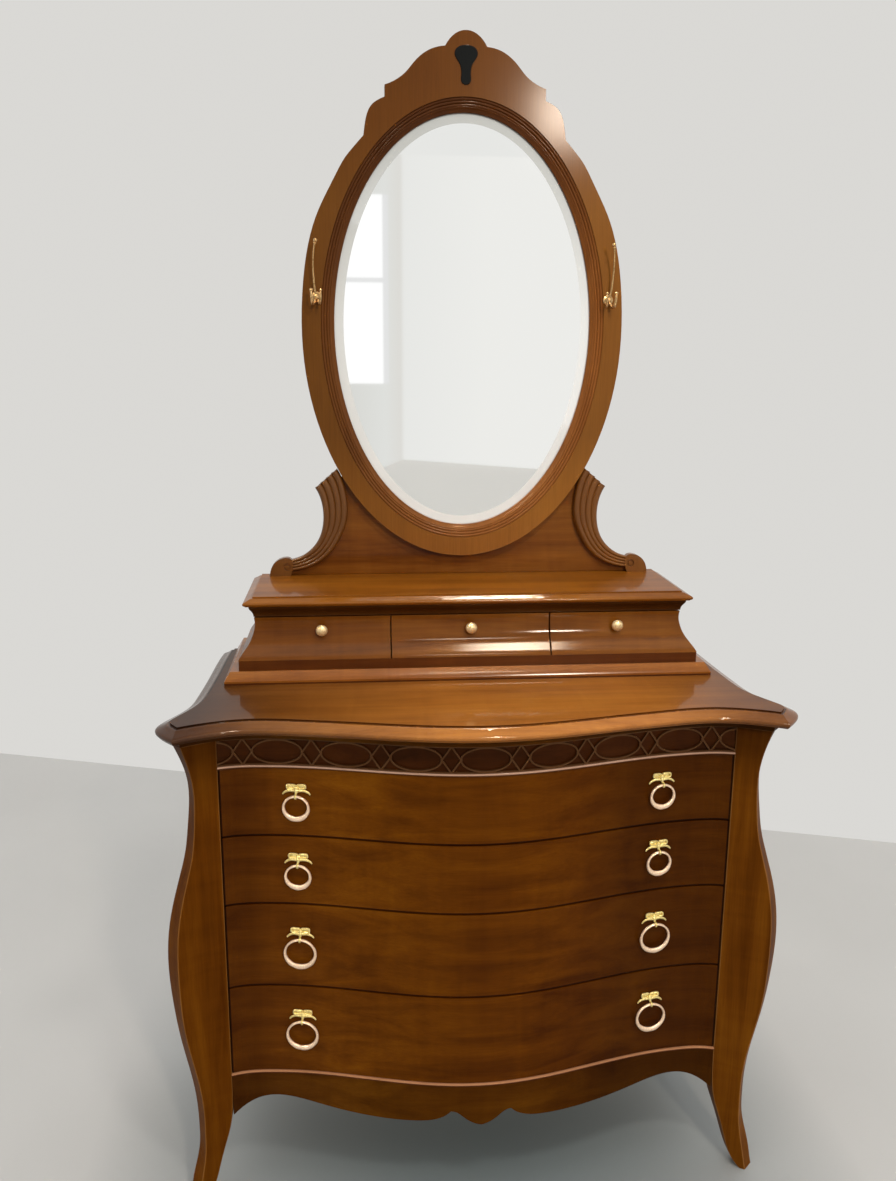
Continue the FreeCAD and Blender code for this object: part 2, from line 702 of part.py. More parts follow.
def fret_shape():
    """Ovals and lozenges between two borders, cut from a serpentine sheet."""
    low = D.frieze_line + D.bead_height / 2
    high = D.case_top
    middle = (low + high) / 2
    border = D.fret_border
    band = D.fret_band
    count = 7
    pitch = D.opening_width / (count + 0.72)
    oval_half = pitch * 0.375
    oval_rise = (high - low) / 2 - border * 0.6
    depth = D.bow_depth + D.front_thickness
    front = D.front_line - D.bow_depth - 1

    def cut(wire):
        return Part.Face(wire).extrude(vec(0, depth, 0))

    def flat_oval(x, half_x, half_z):
        curve = Part.Ellipse(vec(0, 0), max(half_x, half_z), min(half_x, half_z))
        wire = Part.Wire([curve.toShape()])
        if half_z > half_x:
            wire.rotate(vec(0, 0), vec(0, 0, 1), 90)
        wire.rotate(vec(0, 0), vec(1, 0, 0), 90)
        wire.translate(vec(x, front, middle))
        return wire

    def bar(x0, z0, x1, z1):
        along = vec(x1 - x0, 0, z1 - z0).normalize()
        across = vec(-along.z, 0, along.x) * band * 0.5
        ends = [vec(x0, front, z0), vec(x1, front, z1)]
        corners = [ends[0] + across, ends[1] + across, ends[1] - across, ends[0] - across]
        return Part.makePolygon(corners + corners[:1])

    pieces = []
    for index in range(-1, count + 1):
        x = (index - (count - 1) / 2) * pitch
        hole = cut(flat_oval(x, oval_half - band, oval_rise - band))
        pieces.append(cut(flat_oval(x, oval_half, oval_rise)).cut(hole))
    for index in range(count + 1):
        x = (index - count / 2) * pitch
        reach = pitch / 2 - oval_half + band
        for side in (-1, 1):
            for rise in (-1, 1):
                tip = middle + rise * (oval_rise + border * 0.3)
                pieces.append(cut(bar(x, tip, x + side * reach, middle - rise * 2.0)))
    low_border = Part.makeBox(D.opening_width, depth, border, vec(-D.half_opening, front, low))
    high_border = Part.makeBox(D.opening_width, depth, border, vec(-D.half_opening, front, high - border))
    whole = low_border.multiFuse([high_border] + pieces)
    sheet_wire = Part.Wire(Part.__sortEdges__(
        [curve.toShape() for curve in serpentine_strip(D.half_opening, 0, D.fret_thickness)]))
    sheet = Part.Face(sheet_wire).extrude(vec(0, 0, high - low))
    sheet.translate(vec(0, 0, low))
    return whole.common(sheet)


def make_fret():
    fret = DOC.addObject("Part::Feature", "frieze_fret")
    fret.Shape = fret_shape()
    node(fret, "frieze_fret")


def make_beads():
    """Two beads of one pattern: under the frieze and over the apron."""
    pieces = []
    for name, line in (("frieze", "frieze_line"), ("apron", "apron_line")):
        body = DOC.addObject("PartDesign::Body", name + "_bead")
        pad(body, "XY_Plane", serpentine_strip(D.half_opening, -D.bead_proud, D.fret_thickness),
            line + " - bead_height / 2", "bead_height")
        pieces.append(body)
    group("front_beads", pieces)


def make_apron():
    """Apron with a pendant in the middle and an arch beside each leg."""
    half = D.half_opening
    body = new_body("apron_rail")
    pad(body, "XY_Plane", serpentine_panel(half, 0, D.fronts_back), "apron_line - apron_depth",
        "apron_depth - bead_height / 2")
    foot = D.apron_line - D.apron_depth
    arch = D.apron_arch
    right = [
        spline([vec(0, foot), vec(15, foot + 5), vec(28, foot + 14), vec(39, foot + 23), vec(50, foot + 26)]),
        spline([vec(50, foot + 26), vec(62, foot + 16), vec(80, foot + 9), vec(110, foot + 5),
                vec(160, foot + 4), vec(215, foot + 8), vec(half - 150, foot + 16),
                vec(half - 105, foot + 27), vec(half - 68, foot + arch), vec(half - 45, foot + arch - 4),
                vec(half - 22, foot + arch - 15), vec(half, foot)]),
    ]
    left = []
    for curve in right:
        points = [curve.value(curve.getKnot(k + 1)) for k in range(curve.NbKnots)]
        left.append(spline([vec(-point.x, point.y) for point in reversed(points)]))
    below = foot - 5
    frame = polyline([vec(half, foot), vec(half, below), vec(-half, below), vec(-half, foot)], closed=False)
    cut = pocket(body, "XZ_Plane", right + left + frame, "-fronts_back - 1", "2 * front_setback")
    cut.Reversed = True


# ---------------------------------------------------------------- long drawers

LONG_DRAWERS = (
    (1, "line_1", "frieze_line"),
    (2, "line_2", "line_1"),
    (3, "line_3", "line_2"),
    (4, "apron_line", "line_3"),
)


def make_long_drawer(number, low, high):
    """Serpentine front and the open box behind it."""
    low_gap = "bead_height / 2 + front_gap / 2" if number == 4 else "front_gap / 2"
    high_gap = "bead_height / 2 + front_gap / 2" if number == 1 else "front_gap / 2"
    half = D.half_opening - D.front_gap / 2
    front = new_body(f"drawer_{number}_front")
    pad(front, "XY_Plane", serpentine_panel(half, 0, D.fronts_back), f"{low} + {low_gap}",
        f"{high} - {low} - ({high_gap}) - ({low_gap})")
    box = new_body(f"drawer_{number}_box")
    outer = D.box_half
    inner = outer - D.box_wall
    back = D.fronts_back + D.box_depth
    seat = f"{low} + rail_thickness / 2 + slide_gap"
    height = f"{high} - {low} - rail_thickness - 4"
    pad(box, "XY_Plane", rectangle(-outer, D.fronts_back, outer, back), seat, height)
    pocket(box, "XY_Plane", rectangle(-inner, D.fronts_back - 1, inner, back - D.box_wall),
           f"{seat} + {height}", f"{height} - box_bottom")


def ring_place(side):
    """Where a ring pull stands: place on the front face and turn of the face."""
    x = side * D.ring_spread
    slope = (serpentine_y(x + 1) - serpentine_y(x - 1)) / 2
    return x, serpentine_y(x), math.degrees(math.atan(slope))


# right half of a ribbon bow 47 by 20 about its knot: loop, waist and tail
BOW_HALF = ((6, 10.6), (13, 10.8), (16.4, 9.8), (15.6, 6.2), (11.5, 3.0), (8.6, 0.4), (12.5, 0.6), (18, -1.8),
            (22, -5.4), (23.5, -9), (20.6, -8.4), (16.5, -5.2), (11, -4.0), (6.6, -5.2), (4.2, -8.6))


def bow_outline():
    """Ribbon bow: two loops above, two tails below, about the knot."""
    wide = D.bow_width / 47
    tall = D.bow_height / 20
    points = [vec(0, 9.4)] + [vec(x, z) for x, z in BOW_HALF] + [vec(0, -9.4)]
    points += [vec(-x, z) for x, z in reversed(BOW_HALF)]
    points = [vec(point.x * wide, point.y * tall) for point in points]
    curve = Part.BSplineCurve()
    curve.interpolate(points, PeriodicFlag=True)
    return curve


def make_bow(number, side, height):
    """Bow plate with the eye that holds the ring; its face lies on Y = 0."""
    x, y, turn = ring_place(side)
    body = DOC.addObject("PartDesign::Body", f"bow_{number}_{'left' if side < 0 else 'right'}")
    pad(body, "XZ_Plane", [bow_outline()], "bow_clear", "bow_thickness")
    hole = D.ring_top / 2 * 1.1 + D.eye_play
    outside = hole + D.eye_wall
    eye = [Part.Circle(vec(-D.ring_stand, -D.ring_drop), vec(0, 0, 1), outside)]
    pad(body, "YZ_Plane", eye, "-eye_width / 2", "eye_width")
    neck = rectangle(-D.ring_stand, -D.ring_drop + 1, -D.bow_thickness / 2, -D.ring_drop + outside)
    pad(body, "YZ_Plane", neck, "-eye_width / 2", "eye_width")
    bore = [Part.Circle(vec(-D.ring_stand, -D.ring_drop), vec(0, 0, 1), hole)]
    pocket(body, "YZ_Plane", bore, "eye_width", "2 * eye_width")
    body.Placement = place(x, y, height, turn)
    return body


def make_ring(number, side, height, diameter_name):
    """Crescent ring, heavier below; its axis through the eye is its origin."""
    x, y, turn = ring_place(side)
    body = new_body(f"drawer_{number}_ring_{'left' if side < 0 else 'right'}")
    outer = getattr(D, diameter_name) / 2
    wide = outer - D.ring_side
    tall = outer - (D.ring_top + D.ring_bottom) / 2
    centre = D.ring_top / 2 - outer
    hole = Part.Ellipse(vec(0, 0), wide, tall)
    hole.translate(vec(0, centre + (D.ring_bottom - D.ring_top) / 2))
    curves = [Part.Circle(vec(0, centre), vec(0, 0, 1), outer), hole]
    disc = pad(body, "XZ_Plane", curves, "-ring_depth / 2", "ring_depth")
    DOC.recompute()
    rounding = body.newObject("PartDesign::Fillet", body.Name + "_round")
    rims = [f"Edge{index}" for index, edge in enumerate(disc.Shape.Edges, start=1)
            if edge.Length > outer and edge.BoundBox.YLength < 0.01]
    rounding.Base = (disc, rims)
    set_sizes(rounding, Radius="ring_round")
    turned = math.radians(turn)
    forward = vec(math.sin(turned), -math.cos(turned)) * D.ring_stand
    body.Placement = place(x + forward.x, y + forward.y, height - D.ring_drop, turn)


PULLS = (
    (1, "line_1", "bow_rise_1", "ring_small"),
    (2, "line_2", "bow_rise_2", "ring_small"),
    (3, "line_3", "bow_rise_3", "ring_large"),
    (4, "apron_line", "bow_rise_4", "ring_large"),
)


def make_pulls():
    for number, line, rise, diameter_name in PULLS:
        height = getattr(D, line) + getattr(D, rise)
        group(f"drawer_{number}_bows", [make_bow(number, side, height) for side in (-1, 1)])
        for side in (-1, 1):
            make_ring(number, side, height, diameter_name)


# ---------------------------------------------------------------- gallery

# share of the height, share of the depth
GALLERY_PROFILE = ((0.0, 0.0), (0.08, 0.11), (0.2, 0.34), (0.35, 0.62), (0.5, 0.82), (0.7, 0.97),
                   (0.85, 1.0), (1.0, 0.95))
BASE_PROFILE = ((0.0, 0.08), (0.25, 0.22), (0.5, 0.42), (0.75, 0.64), (1.0, 0.85))
CORNICE_PROFILE = ((0.0, 1.0), (0.2, 0.93), (0.4, 0.72), (0.58, 0.4), (0.72, 0.14), (0.85, 0.0), (1.0, 0.12))


def gallery_profile():
    """(height, inset) pairs of the hollow face of the gallery case."""
    return [(D.case_foot + share * D.gallery_case_height, hollow * D.gallery_hollow)
            for share, hollow in GALLERY_PROFILE]


def gallery_core(name):
    """The moulded block that the gallery fronts and sides are cut from."""
    body = DOC.addObject("PartDesign::Body", name)
    chains = rectangle_chains(D.foot_half, D.foot_front, D.gallery_back_face)
    moulded_loft(body, chains, gallery_profile())
    return body


def common(label, block, zone):
    """The part of a block inside a zone."""
    piece = DOC.addObject("Part::Common", label)
    piece.Base = block
    piece.Tool = zone
    return node(piece, label)


def make_gallery_case():
    base = new_body("gallery_base")
    base_half = D.gallery_width / 2
    chains = rectangle_chains(base_half, D.gallery_front, D.back_line)
    outline = rectangle(-base_half, D.gallery_front, base_half, D.back_line)
    pad(base, "XY_Plane", outline, "chest_height", "gallery_base_edge")
    edge_top = D.chest_height + D.gallery_base_edge
    rise = D.base_top - edge_top
    profile = [(edge_top + share * rise, depth * D.gallery_lead) for share, depth in BASE_PROFILE]
    moulded_loft(base, chains, profile)
    foot = rectangle(-D.foot_half + 1, D.foot_front + 1, D.foot_half - 1, D.gallery_back_face)
    pad(base, "XY_Plane", foot, "base_top", "gallery_foot_height")
    for side, start in (("left", "-gallery_inner - 2 * gallery_foot_inset - gallery_hollow"),
                        ("right", "gallery_inner")):
        zone = board(f"zone_side_{side}", (start, "small_back + 0.5", "case_foot"),
                     ("2 * gallery_foot_inset + gallery_hollow", "gallery_back_face - small_back - 0.5",
                      "gallery_case_height"), own_node=False)
        common(f"gallery_side_{side}", gallery_core(f"block_side_{side}"), zone)
    board("gallery_back", ("-foot_half + gallery_hollow", "gallery_back_face", "base_top"),
          ("2 * foot_half - 2 * gallery_hollow", "gallery_wall",
           "gallery_case_height + gallery_foot_height"))
    pieces = []
    for side, start in (("left", "-gallery_split / 2 - gallery_wall / 2"),
                        ("right", "gallery_split / 2 - gallery_wall / 2")):
        pieces.append(board(f"partition_{side}", (start, "small_back + 0.5", "case_foot"),
                            ("gallery_wall", "gallery_back_face - small_back - 0.5", "gallery_case_height"),
                            own_node=False))
    group("gallery_partitions", pieces)


def make_gallery_top():
    inset = D.gallery_hollow * GALLERY_PROFILE[-1][1]
    cornice = new_body("gallery_cornice")
    half = D.foot_half - inset + D.cornice_reach
    front = D.foot_front + inset - D.cornice_reach
    profile = [(D.case_head + share * D.cornice_height, depth * D.cornice_reach)
               for share, depth in CORNICE_PROFILE]
    moulded_loft(cornice, rectangle_chains(half, front, D.back_line), profile)
    top = new_body("gallery_top")
    chains = rectangle_chains(D.gallery_top_width / 2, D.foot_front + D.gallery_top_back, D.back_line)
    step = D.gallery_top_face - D.top_field_step
    moulded_loft(top, chains, thumb_profile(D.gallery_top_under, step, D.thumb_width * 0.7, D.nose_quirk))
    insets = [D.thumb_width * 0.7, D.thumb_width * 0.7, 0, D.thumb_width * 0.7]
    field = chain_curves(inset_chains(chains, insets))
    pad(top, "XY_Plane", field, "gallery_top_face - top_field_step", "top_field_step")


# name, place of the drawer's left and right ends and of its tray
SMALL_DRAWERS = (
    ("left", "-foot_half - 1", "-gallery_split / 2 - front_gap / 2", "-gallery_inner + 1",
     "-gallery_split / 2 - gallery_wall / 2 - 1", "-knob_spread"),
    ("centre", "-gallery_split / 2 + front_gap / 2", "gallery_split / 2 - front_gap / 2",
     "-gallery_split / 2 + gallery_wall / 2 + 1", "gallery_split / 2 - gallery_wall / 2 - 1", "0"),
    ("right", "gallery_split / 2 + front_gap / 2", "foot_half + 1",
     "gallery_split / 2 + gallery_wall / 2 + 1", "gallery_inner - 1", "knob_spread"),
)


def knob_face():
    """Where the hollow front stands at the height of the knobs."""
    hollow = blend(GALLERY_PROFILE, D.knob_height / D.gallery_case_height) * D.gallery_hollow
    return D.foot_front + hollow


def make_small_drawer(name, start, end, tray_start, tray_end, knob_x):
    """Hollow-faced front, open tray and brass knob."""
    zone = board(f"zone_front_{name}", (start, "foot_front - 1", "case_foot + slide_gap"),
                 (f"{end} - ({start})", "gallery_front_flat + 1",
                  "gallery_case_height - slide_gap - front_gap"),
                 own_node=False)
    blank = DOC.addObject("Part::Common", f"blank_front_{name}")
    blank.Base = gallery_core(f"block_front_{name}")
    blank.Tool = zone
    drill = DOC.addObject("Part::Cylinder", f"knob_hole_{name}")
    set_sizes(drill, Radius="knob_shank / 2 + knob_fit", Height="gallery_front_flat",
              Placement__Base__x=knob_x, Placement__Base__y=f"{knob_face()} + knob_root + knob_fit",
              Placement__Base__z="case_foot + knob_height")
    drill.Placement.Rotation = FreeCAD.Rotation(vec(1, 0, 0), 90)
    front = DOC.addObject("Part::Cut", f"gallery_drawer_front_{name}")
    front.Base = blank
    front.Tool = drill
    node(front, f"gallery_drawer_front_{name}")
    outer = board(f"tray_block_{name}", (tray_start, "small_back", "case_foot + slide_gap"),
                  (f"{tray_end} - ({tray_start})", "tray_depth", "gallery_case_height * 0.8"), own_node=False)
    inner = board(f"tray_room_{name}",
                  (f"{tray_start} + tray_wall", "small_back - 1", "case_foot + slide_gap + tray_wall * 0.7"),
                  (f"{tray_end} - ({tray_start}) - 2 * tray_wall", "tray_depth + 1 - tray_wall",
                   "gallery_case_height"), own_node=False)
    tray = DOC.addObject("Part::Cut", f"gallery_tray_{name}")
    tray.Base = outer
    tray.Tool = inner
    node(tray, f"gallery_tray_{name}")
    make_knob(name, knob_x)


def make_knob(name, knob_x):
    """Domed knob turned about its shank, which goes into the drawer front."""
    body = new_body(f"gallery_knob_{name}")
    shank = D.knob_shank / 2
    radius = D.knob_diameter / 2
    length = D.knob_length
    flat = radius * 0.1
    neck = vec(shank, length * 0.4)
    brim = vec(radius, length * 0.68)
    crown = vec(flat, length)
    curves = polyline([crown, vec(0, length), vec(0, -D.knob_root), vec(shank, -D.knob_root), neck],
                      closed=False)
    curves += [three_point(neck, vec(radius * 0.86, length * 0.5), brim),
               three_point(brim, vec(radius * 0.72, length * 0.92), crown)]
    sketch = new_sketch(body, "XY_Plane", curves)
    turned = body.newObject("PartDesign::Revolution", body.Name + "_turning")
    turned.Profile = sketch
    turned.ReferenceAxis = (sketch, ["V_Axis"])
    turned.Angle = 360
    body.Placement = place(0, knob_face(), D.case_foot + D.knob_height, 180)
    set_sizes(body, Placement__Base__x=knob_x)


# ---------------------------------------------------------------- mirror


# reed depths over the depth of the rebate, from the outside in
REED_STEPS = (0.80, 0.54, 0.30)


def crest_outline():
    """Right half of the frame's outline, from the foot of the oval to the top of the crest."""
    centre = D.mirror_height
    half_x = D.frame_width / 2
    half_z = D.frame_height / 2
    top = D.crest_height

    unit = D.crest_rise / 473

    def on_oval(degrees):
        angle = math.radians(degrees)
        return vec(half_x * math.cos(angle), centre + half_z * math.sin(angle))

    def under_top(*pairs):
        return [vec(x * unit, top - drop * unit) for x, drop in pairs]

    oval_side = [on_oval(angle) for angle in (-90, -70, -50, -30, -10, 10, 27)]
    shoulder = under_top((218, 227), (202, 200), (192.5, 188.5), (183, 178), (171, 165))
    ear = under_top((171, 165), (170, 158), (167.5, 142), (163, 127), (156, 116.5), (147, 110), (135, 104.5))
    shelf = under_top((135, 104.5), (135, 86))
    flank = under_top((135, 86), (118, 79), (100, 66), (86, 50), (74, 39), (61, 31), (50, 27), (35, 24.5))
    dome = under_top((35, 24.5), (32, 19.5), (25, 11), (16, 4.2), (8, 1), (0, 0))
    return [spline(oval_side + shoulder), spline(ear), Part.LineSegment(shelf[0], shelf[1]),
            spline(flank), spline(dome)]


def mirror_curve(curve):
    """The same curve on the left side."""
    if isinstance(curve, Part.LineSegment):
        return Part.LineSegment(vec(-curve.StartPoint.x, curve.StartPoint.y),
                                vec(-curve.EndPoint.x, curve.EndPoint.y))
    if isinstance(curve, Part.BSplineCurve):
        points = [curve.value(curve.getKnot(knot + 1)) for knot in range(curve.NbKnots)]
        return spline([vec(-point.x, point.y) for point in points])
    first, last = curve.FirstParameter, curve.LastParameter
    points = [curve.value(first + (last - first) * share) for share in (0, 0.5, 1)]
    return three_point(*[vec(-point.x, point.y) for point in points])


def oval(width_margin):
    """An upright oval round the sight of the mirror."""
    return ellipse(D.mirror_height, D.sight_width + 2 * width_margin, D.sight_height + 2 * width_margin)


# right half of the drop, 38 by 60 with a stem 16 wide: distance from the middle, depth under its top
DROP_HEAD = ((10, 1.5), (16, 5.2), (19, 11.5), (17.4, 18), (13.4, 24))
DROP_STEM = ((9.8, 30), (8.0, 37), (7.6, 44), (8.2, 51), (6.2, 57.6))


def drop_outline(grow):
    """Inverted tear-drop, grown all round by a clearance."""
    tall = D.drop_length / 60
    half = [(x * D.drop_head / 38, depth * tall) for x, depth in DROP_HEAD]
    half += [(x * D.drop_stem / 16, depth * tall) for x, depth in DROP_STEM]
    top = D.crest_height - D.drop_top
    points = [vec(0, top)] + [vec(x, top - depth) for x, depth in half] + [vec(0, top - D.drop_length)]
    points += [vec(-x, top - depth) for x, depth in reversed(half)]
    curve = Part.BSplineCurve()
    curve.interpolate(points, PeriodicFlag=True)
    grown = []
    for point in points:
        along = curve.tangent(curve.parameter(point))[0]
        grown.append(point + vec(-along.y, along.x) * grow)
    outline = Part.BSplineCurve()
    outline.interpolate(grown, PeriodicFlag=True)
    return [outline]


def make_mirror():
    """Frame with its crest, reeded inner moulding, bevelled glass and backing."""
    frame = new_body("mirror_frame")
    right = crest_outline()
    left = [mirror_curve(curve) for curve in right]
    pad(frame, "XZ_Plane", right + left + [oval(D.reed_band)], "-support_front", "frame_thickness")
    pocket(frame, "XZ_Plane", drop_outline(D.drop_play), "-frame_front", "drop_sunk")
    drop = new_body("crest_drop")
    pad(drop, "XZ_Plane", drop_outline(0), "-frame_front - drop_sunk", "drop_sunk + drop_proud")
    sight = new_body("sight_moulding")
    for step, depth_share in enumerate(REED_STEPS):
        rings = [oval(D.reed_band * (3 - step) / 3), oval(D.reed_band * (2 - step) / 3)]
        pad(sight, "XZ_Plane", rings, "-glass_front", f"glass_rebate * {depth_share}")
    glass = new_body("mirror_glass")
    edge = D.glass_edge - D.glass_back
    pad(glass, "XZ_Plane", [oval(D.glass_lap)], "-glass_back", "glass_edge")
    loft(glass, "XZ_Plane", [(edge, [oval(D.glass_lap)]), (-D.glass_front, [oval(-D.glass_bevel)])])
    backing = new_body("mirror_backing")
    pad(backing, "XZ_Plane", [oval(D.reed_band)], "-support_front", "support_front - glass_back")


def scroll_edges():
    """Outer and inner edge of the right-hand scroll, from the frame down to the volute."""
    unit = D.volute_spread / 318
    top = D.mirror_height - 245 * unit
    seat = D.gallery_top_face
    outer = [(264, top - 36 * unit), (252, top - 66 * unit), (250, top - 90 * unit),
             (253, top - 114 * unit), (262, top - 136 * unit), (277, seat + 44 * unit),
             (291, seat + 36 * unit), (304, seat + 31.5 * unit), (316, seat + 29 * unit)]
    inner = [(225, top - 2 * unit), (212, top - 36 * unit), (208, top - 66 * unit),
             (210, top - 94 * unit), (220, top - 122 * unit), (237, seat + 46 * unit),
             (262, seat + 24 * unit), (300, seat + 11 * unit), (318, seat + 9 * unit)]
    return [vec(x * unit, z) for x, z in outer], [vec(x * unit, z) for x, z in inner]


def reed_shape(outer, inner, share, y):
    """One tapering reed between the two edges of a scroll."""
    centres = [a + (b - a) * share for a, b in zip(outer, inner)]
    curve = spline(centres)
    rings = []
    for centre, a, b in zip(centres, outer, inner):
        along = curve.tangent(curve.parameter(centre))[0]
        radius = (a - b).Length / 8 * 1.04
        rings.append(Part.Wire(Part.makeCircle(radius, vec(centre.x, y, centre.y), vec(along.x, 0, along.y))))
    return Part.makeLoft(rings, True)


def scroll_shape():
    """Right-hand scroll bracket: flat ground, four reeds and a volute."""
    outer, inner = scroll_edges()
    top = [Part.LineSegment(inner[0], outer[0])]
    foot = [Part.LineSegment(outer[-1], inner[-1])]
    edges = [curve.toShape() for curve in top + [spline(outer)] + foot + [spline(inner)]]
    ground = Part.Face(Part.Wire(Part.__sortEdges__(edges)))
    ground.rotate(vec(0, 0), vec(1, 0, 0), 90)
    ground.translate(vec(0, D.support_front))
    solid = ground.extrude(vec(0, -D.scroll_thickness, 0))
    y = D.support_front - D.scroll_thickness
    reeds = [reed_shape(outer, inner, (index + 0.5) / 4, y) for index in range(4)]
    return volute_on(solid.multiFuse(reeds))


# share of the width from the neck outwards, share of the rise
VOLUTE_LOBE = ((0.12, 0.0), (0.03, 0.3), (0.0, 0.6), (0.03, 0.85), (0.13, 0.97), (0.33, 1.0), (0.6, 0.9),
               (0.83, 0.66), (0.96, 0.34), (1.0, 0.0))


def volute_on(scroll):
    """The scroll with its volute: a rounded lobe on the gallery top with a sunk eye."""
    seat = D.gallery_top_face
    neck = D.volute_centre - D.volute_width / 2
    outline = [vec(neck + across * D.volute_width, seat + up * D.volute_rise) for across, up in VOLUTE_LOBE]
    edges = [spline(outline).toShape(), Part.LineSegment(outline[-1], outline[0]).toShape()]
    face = Part.Face(Part.Wire(edges))
    face.rotate(vec(0, 0), vec(1, 0, 0), 90)
    face.translate(vec(0, D.support_front))
    depth = D.scroll_thickness + D.volute_proud
    lobe = face.extrude(vec(0, -depth, 0))
    eye = D.volute_eye / 2
    place_of_eye = vec(D.volute_centre - D.volute_width * 0.25, D.support_front - depth + D.volute_proud,
                       seat + D.volute_rise * 0.5)
    sunk = Part.makeCylinder(eye, 3 * D.volute_proud, place_of_eye, vec(0, -1, 0))
    boss = Part.makeCylinder(eye * 0.5, D.volute_proud, place_of_eye, vec(0, -1, 0))
    return scroll.fuse(lobe).cut(sunk).fuse(boss).removeSplitter()


def make_mirror_support():
    """Board behind the frame, standing on the gallery, and the scrolls in front of it."""
    outer, inner = scroll_edges()
    middle = [(a + b) * 0.5 for a, b in zip(outer, inner)]
    seat = D.gallery_top_face
    shoulder = vec(middle[0].x - 32, middle[0].y + 12)
    foot = vec(D.volute_centre, seat)
    edge = [shoulder] + middle[1:-1] + [foot]
    left = [vec(-point.x, point.y) for point in reversed(edge)]
    board_body = new_body("mirror_support_board")
    curves = [spline(edge[1:]), spline(left[:-1])]
    curves += [Part.LineSegment(left[-1], edge[0]), Part.LineSegment(edge[0], edge[1]),
               Part.LineSegment(left[-2], left[-1]), Part.LineSegment(edge[-1], left[0])]
    pad(board_body, "XZ_Plane", curves, "-back_line", "support_thickness")
    scroll = DOC.addObject("Part::Feature", "scroll_bracket_right")
    scroll.Shape = scroll_shape()
    node(scroll, "scroll_bracket_right")
    mirrored(scroll, "scroll_bracket_left")


def rod(points, radius, ball):
    """A round rod bent along a smooth line, with a ball at its far end."""
    curve = spline(points)
    start = curve.tangent(curve.FirstParameter)[0]
    ring = Part.Wire(Part.makeCircle(radius, points[0], start))
    bar = Part.Wire(curve.toShape()).makePipeShell([ring], True, False)
    return [bar, Part.makeSphere(ball, points[-1])]


def hook_shape(side):
    """Brass hook: plate, long arm with a ball, two short prongs curling up."""
    x = side * D.hook_spread
    face = D.frame_front
    z = D.mirror_height + D.hook_height
    reach = D.hook_reach
    rise = D.hook_rise
    plate = Part.makeCylinder(9, 3, vec(x, face, z), vec(0, -1, 0))
    boss = Part.makeCylinder(5, 8, vec(x, face, z), vec(0, -1, 0))
    pieces = [boss]
    pieces += rod([vec(x, face - 3, z), vec(x + side * 3, face - reach * 0.35, z + rise * 0.2),
                   vec(x + side * 4, face - reach * 0.5, z + rise * 0.55),
                   vec(x - side, face - reach, z + rise)], 2.2, 4.5)
    for lean in (-1, 1):
        pieces += rod([vec(x + lean * 2, face - 4, z - 3), vec(x + lean * 5, face - reach * 0.35, z - 13),
                       vec(x + lean * 7, face - reach * 0.7, z - 9),
                       vec(x + lean * 8, face - reach * 0.8, z + 10)], 2.2, 3.6)
    return plate.multiFuse(pieces).removeSplitter()


def make_hooks():
    pieces = []
    for side in (-1, 1):
        hook = DOC.addObject("Part::Feature", "hook_left" if side < 0 else "hook_right")
        hook.Shape = hook_shape(side)
        pieces.append(hook)
    group("mirror_hooks", pieces)


def check_and_write():
    """Stop on any failed object, then write one STEP file for each sub-part."""
    for thing in DOC.Objects:
        if "Invalid" in thing.State or "Error" in thing.State:
            raise RuntimeError(f"{thing.Label} failed: {thing.State}")
    for thing in NODES:
        if thing.Shape.isNull() or not thing.Shape.isValid():
            raise RuntimeError(f"{thing.Label} has no valid shape")
    os.makedirs("parts", exist_ok=True)
    for thing in NODES:
        thing.Shape.exportStep(f"parts/{thing.Label}.step")
        box = thing.Shape.optimalBoundingBox(False, False)
        print(f"{thing.Label}: {len(thing.Shape.Solids)} solids, {thing.Shape.Volume / 1000:.1f} cm3, "
              f"x {box.XMin:.1f}..{box.XMax:.1f} y {box.YMin:.1f}..{box.YMax:.1f} "
              f"z {box.ZMin:.1f}..{box.ZMax:.1f}")


make_chest_top()
make_top_moulding()
make_front_posts()
make_rear_posts()
make_side_panels()
make_case_boards()
make_drawer_frames()
make_frieze()
make_fret()
make_beads()
make_apron()
for drawer in LONG_DRAWERS:
    make_long_drawer(*drawer)
make_pulls()
make_gallery_case()
make_gallery_top()
for drawer in SMALL_DRAWERS:
    make_small_drawer(*drawer)
make_mirror()
make_mirror_support()
make_hooks()
DOC.recompute()
check_and_write()
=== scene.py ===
"""Serpentine dresser with a gallery and an oval mirror: lacquered wood, brass pulls, bevelled glass.

Metres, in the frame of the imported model: X to the right, Y to the back, Z up. Sizes of small fittings are
in millimetres, and MM makes metres of them.
"""
import json
import math

import bmesh
import bpy
from mathutils import Matrix, Vector


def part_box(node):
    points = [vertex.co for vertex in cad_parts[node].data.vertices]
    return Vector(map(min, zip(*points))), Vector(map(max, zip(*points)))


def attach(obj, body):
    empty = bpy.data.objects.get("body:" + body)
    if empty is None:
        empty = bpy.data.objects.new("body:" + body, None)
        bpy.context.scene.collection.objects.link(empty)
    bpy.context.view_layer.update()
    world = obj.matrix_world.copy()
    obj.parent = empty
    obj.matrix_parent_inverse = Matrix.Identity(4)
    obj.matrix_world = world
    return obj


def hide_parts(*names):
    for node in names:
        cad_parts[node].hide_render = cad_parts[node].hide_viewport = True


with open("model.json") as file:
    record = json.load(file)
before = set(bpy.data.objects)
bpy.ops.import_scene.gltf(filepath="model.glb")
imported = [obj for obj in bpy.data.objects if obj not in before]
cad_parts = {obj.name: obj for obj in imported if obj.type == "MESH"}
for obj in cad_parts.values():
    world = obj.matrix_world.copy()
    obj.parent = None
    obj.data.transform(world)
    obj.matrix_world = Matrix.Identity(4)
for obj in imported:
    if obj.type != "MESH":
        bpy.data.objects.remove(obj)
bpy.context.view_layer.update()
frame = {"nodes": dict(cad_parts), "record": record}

MM = 0.001
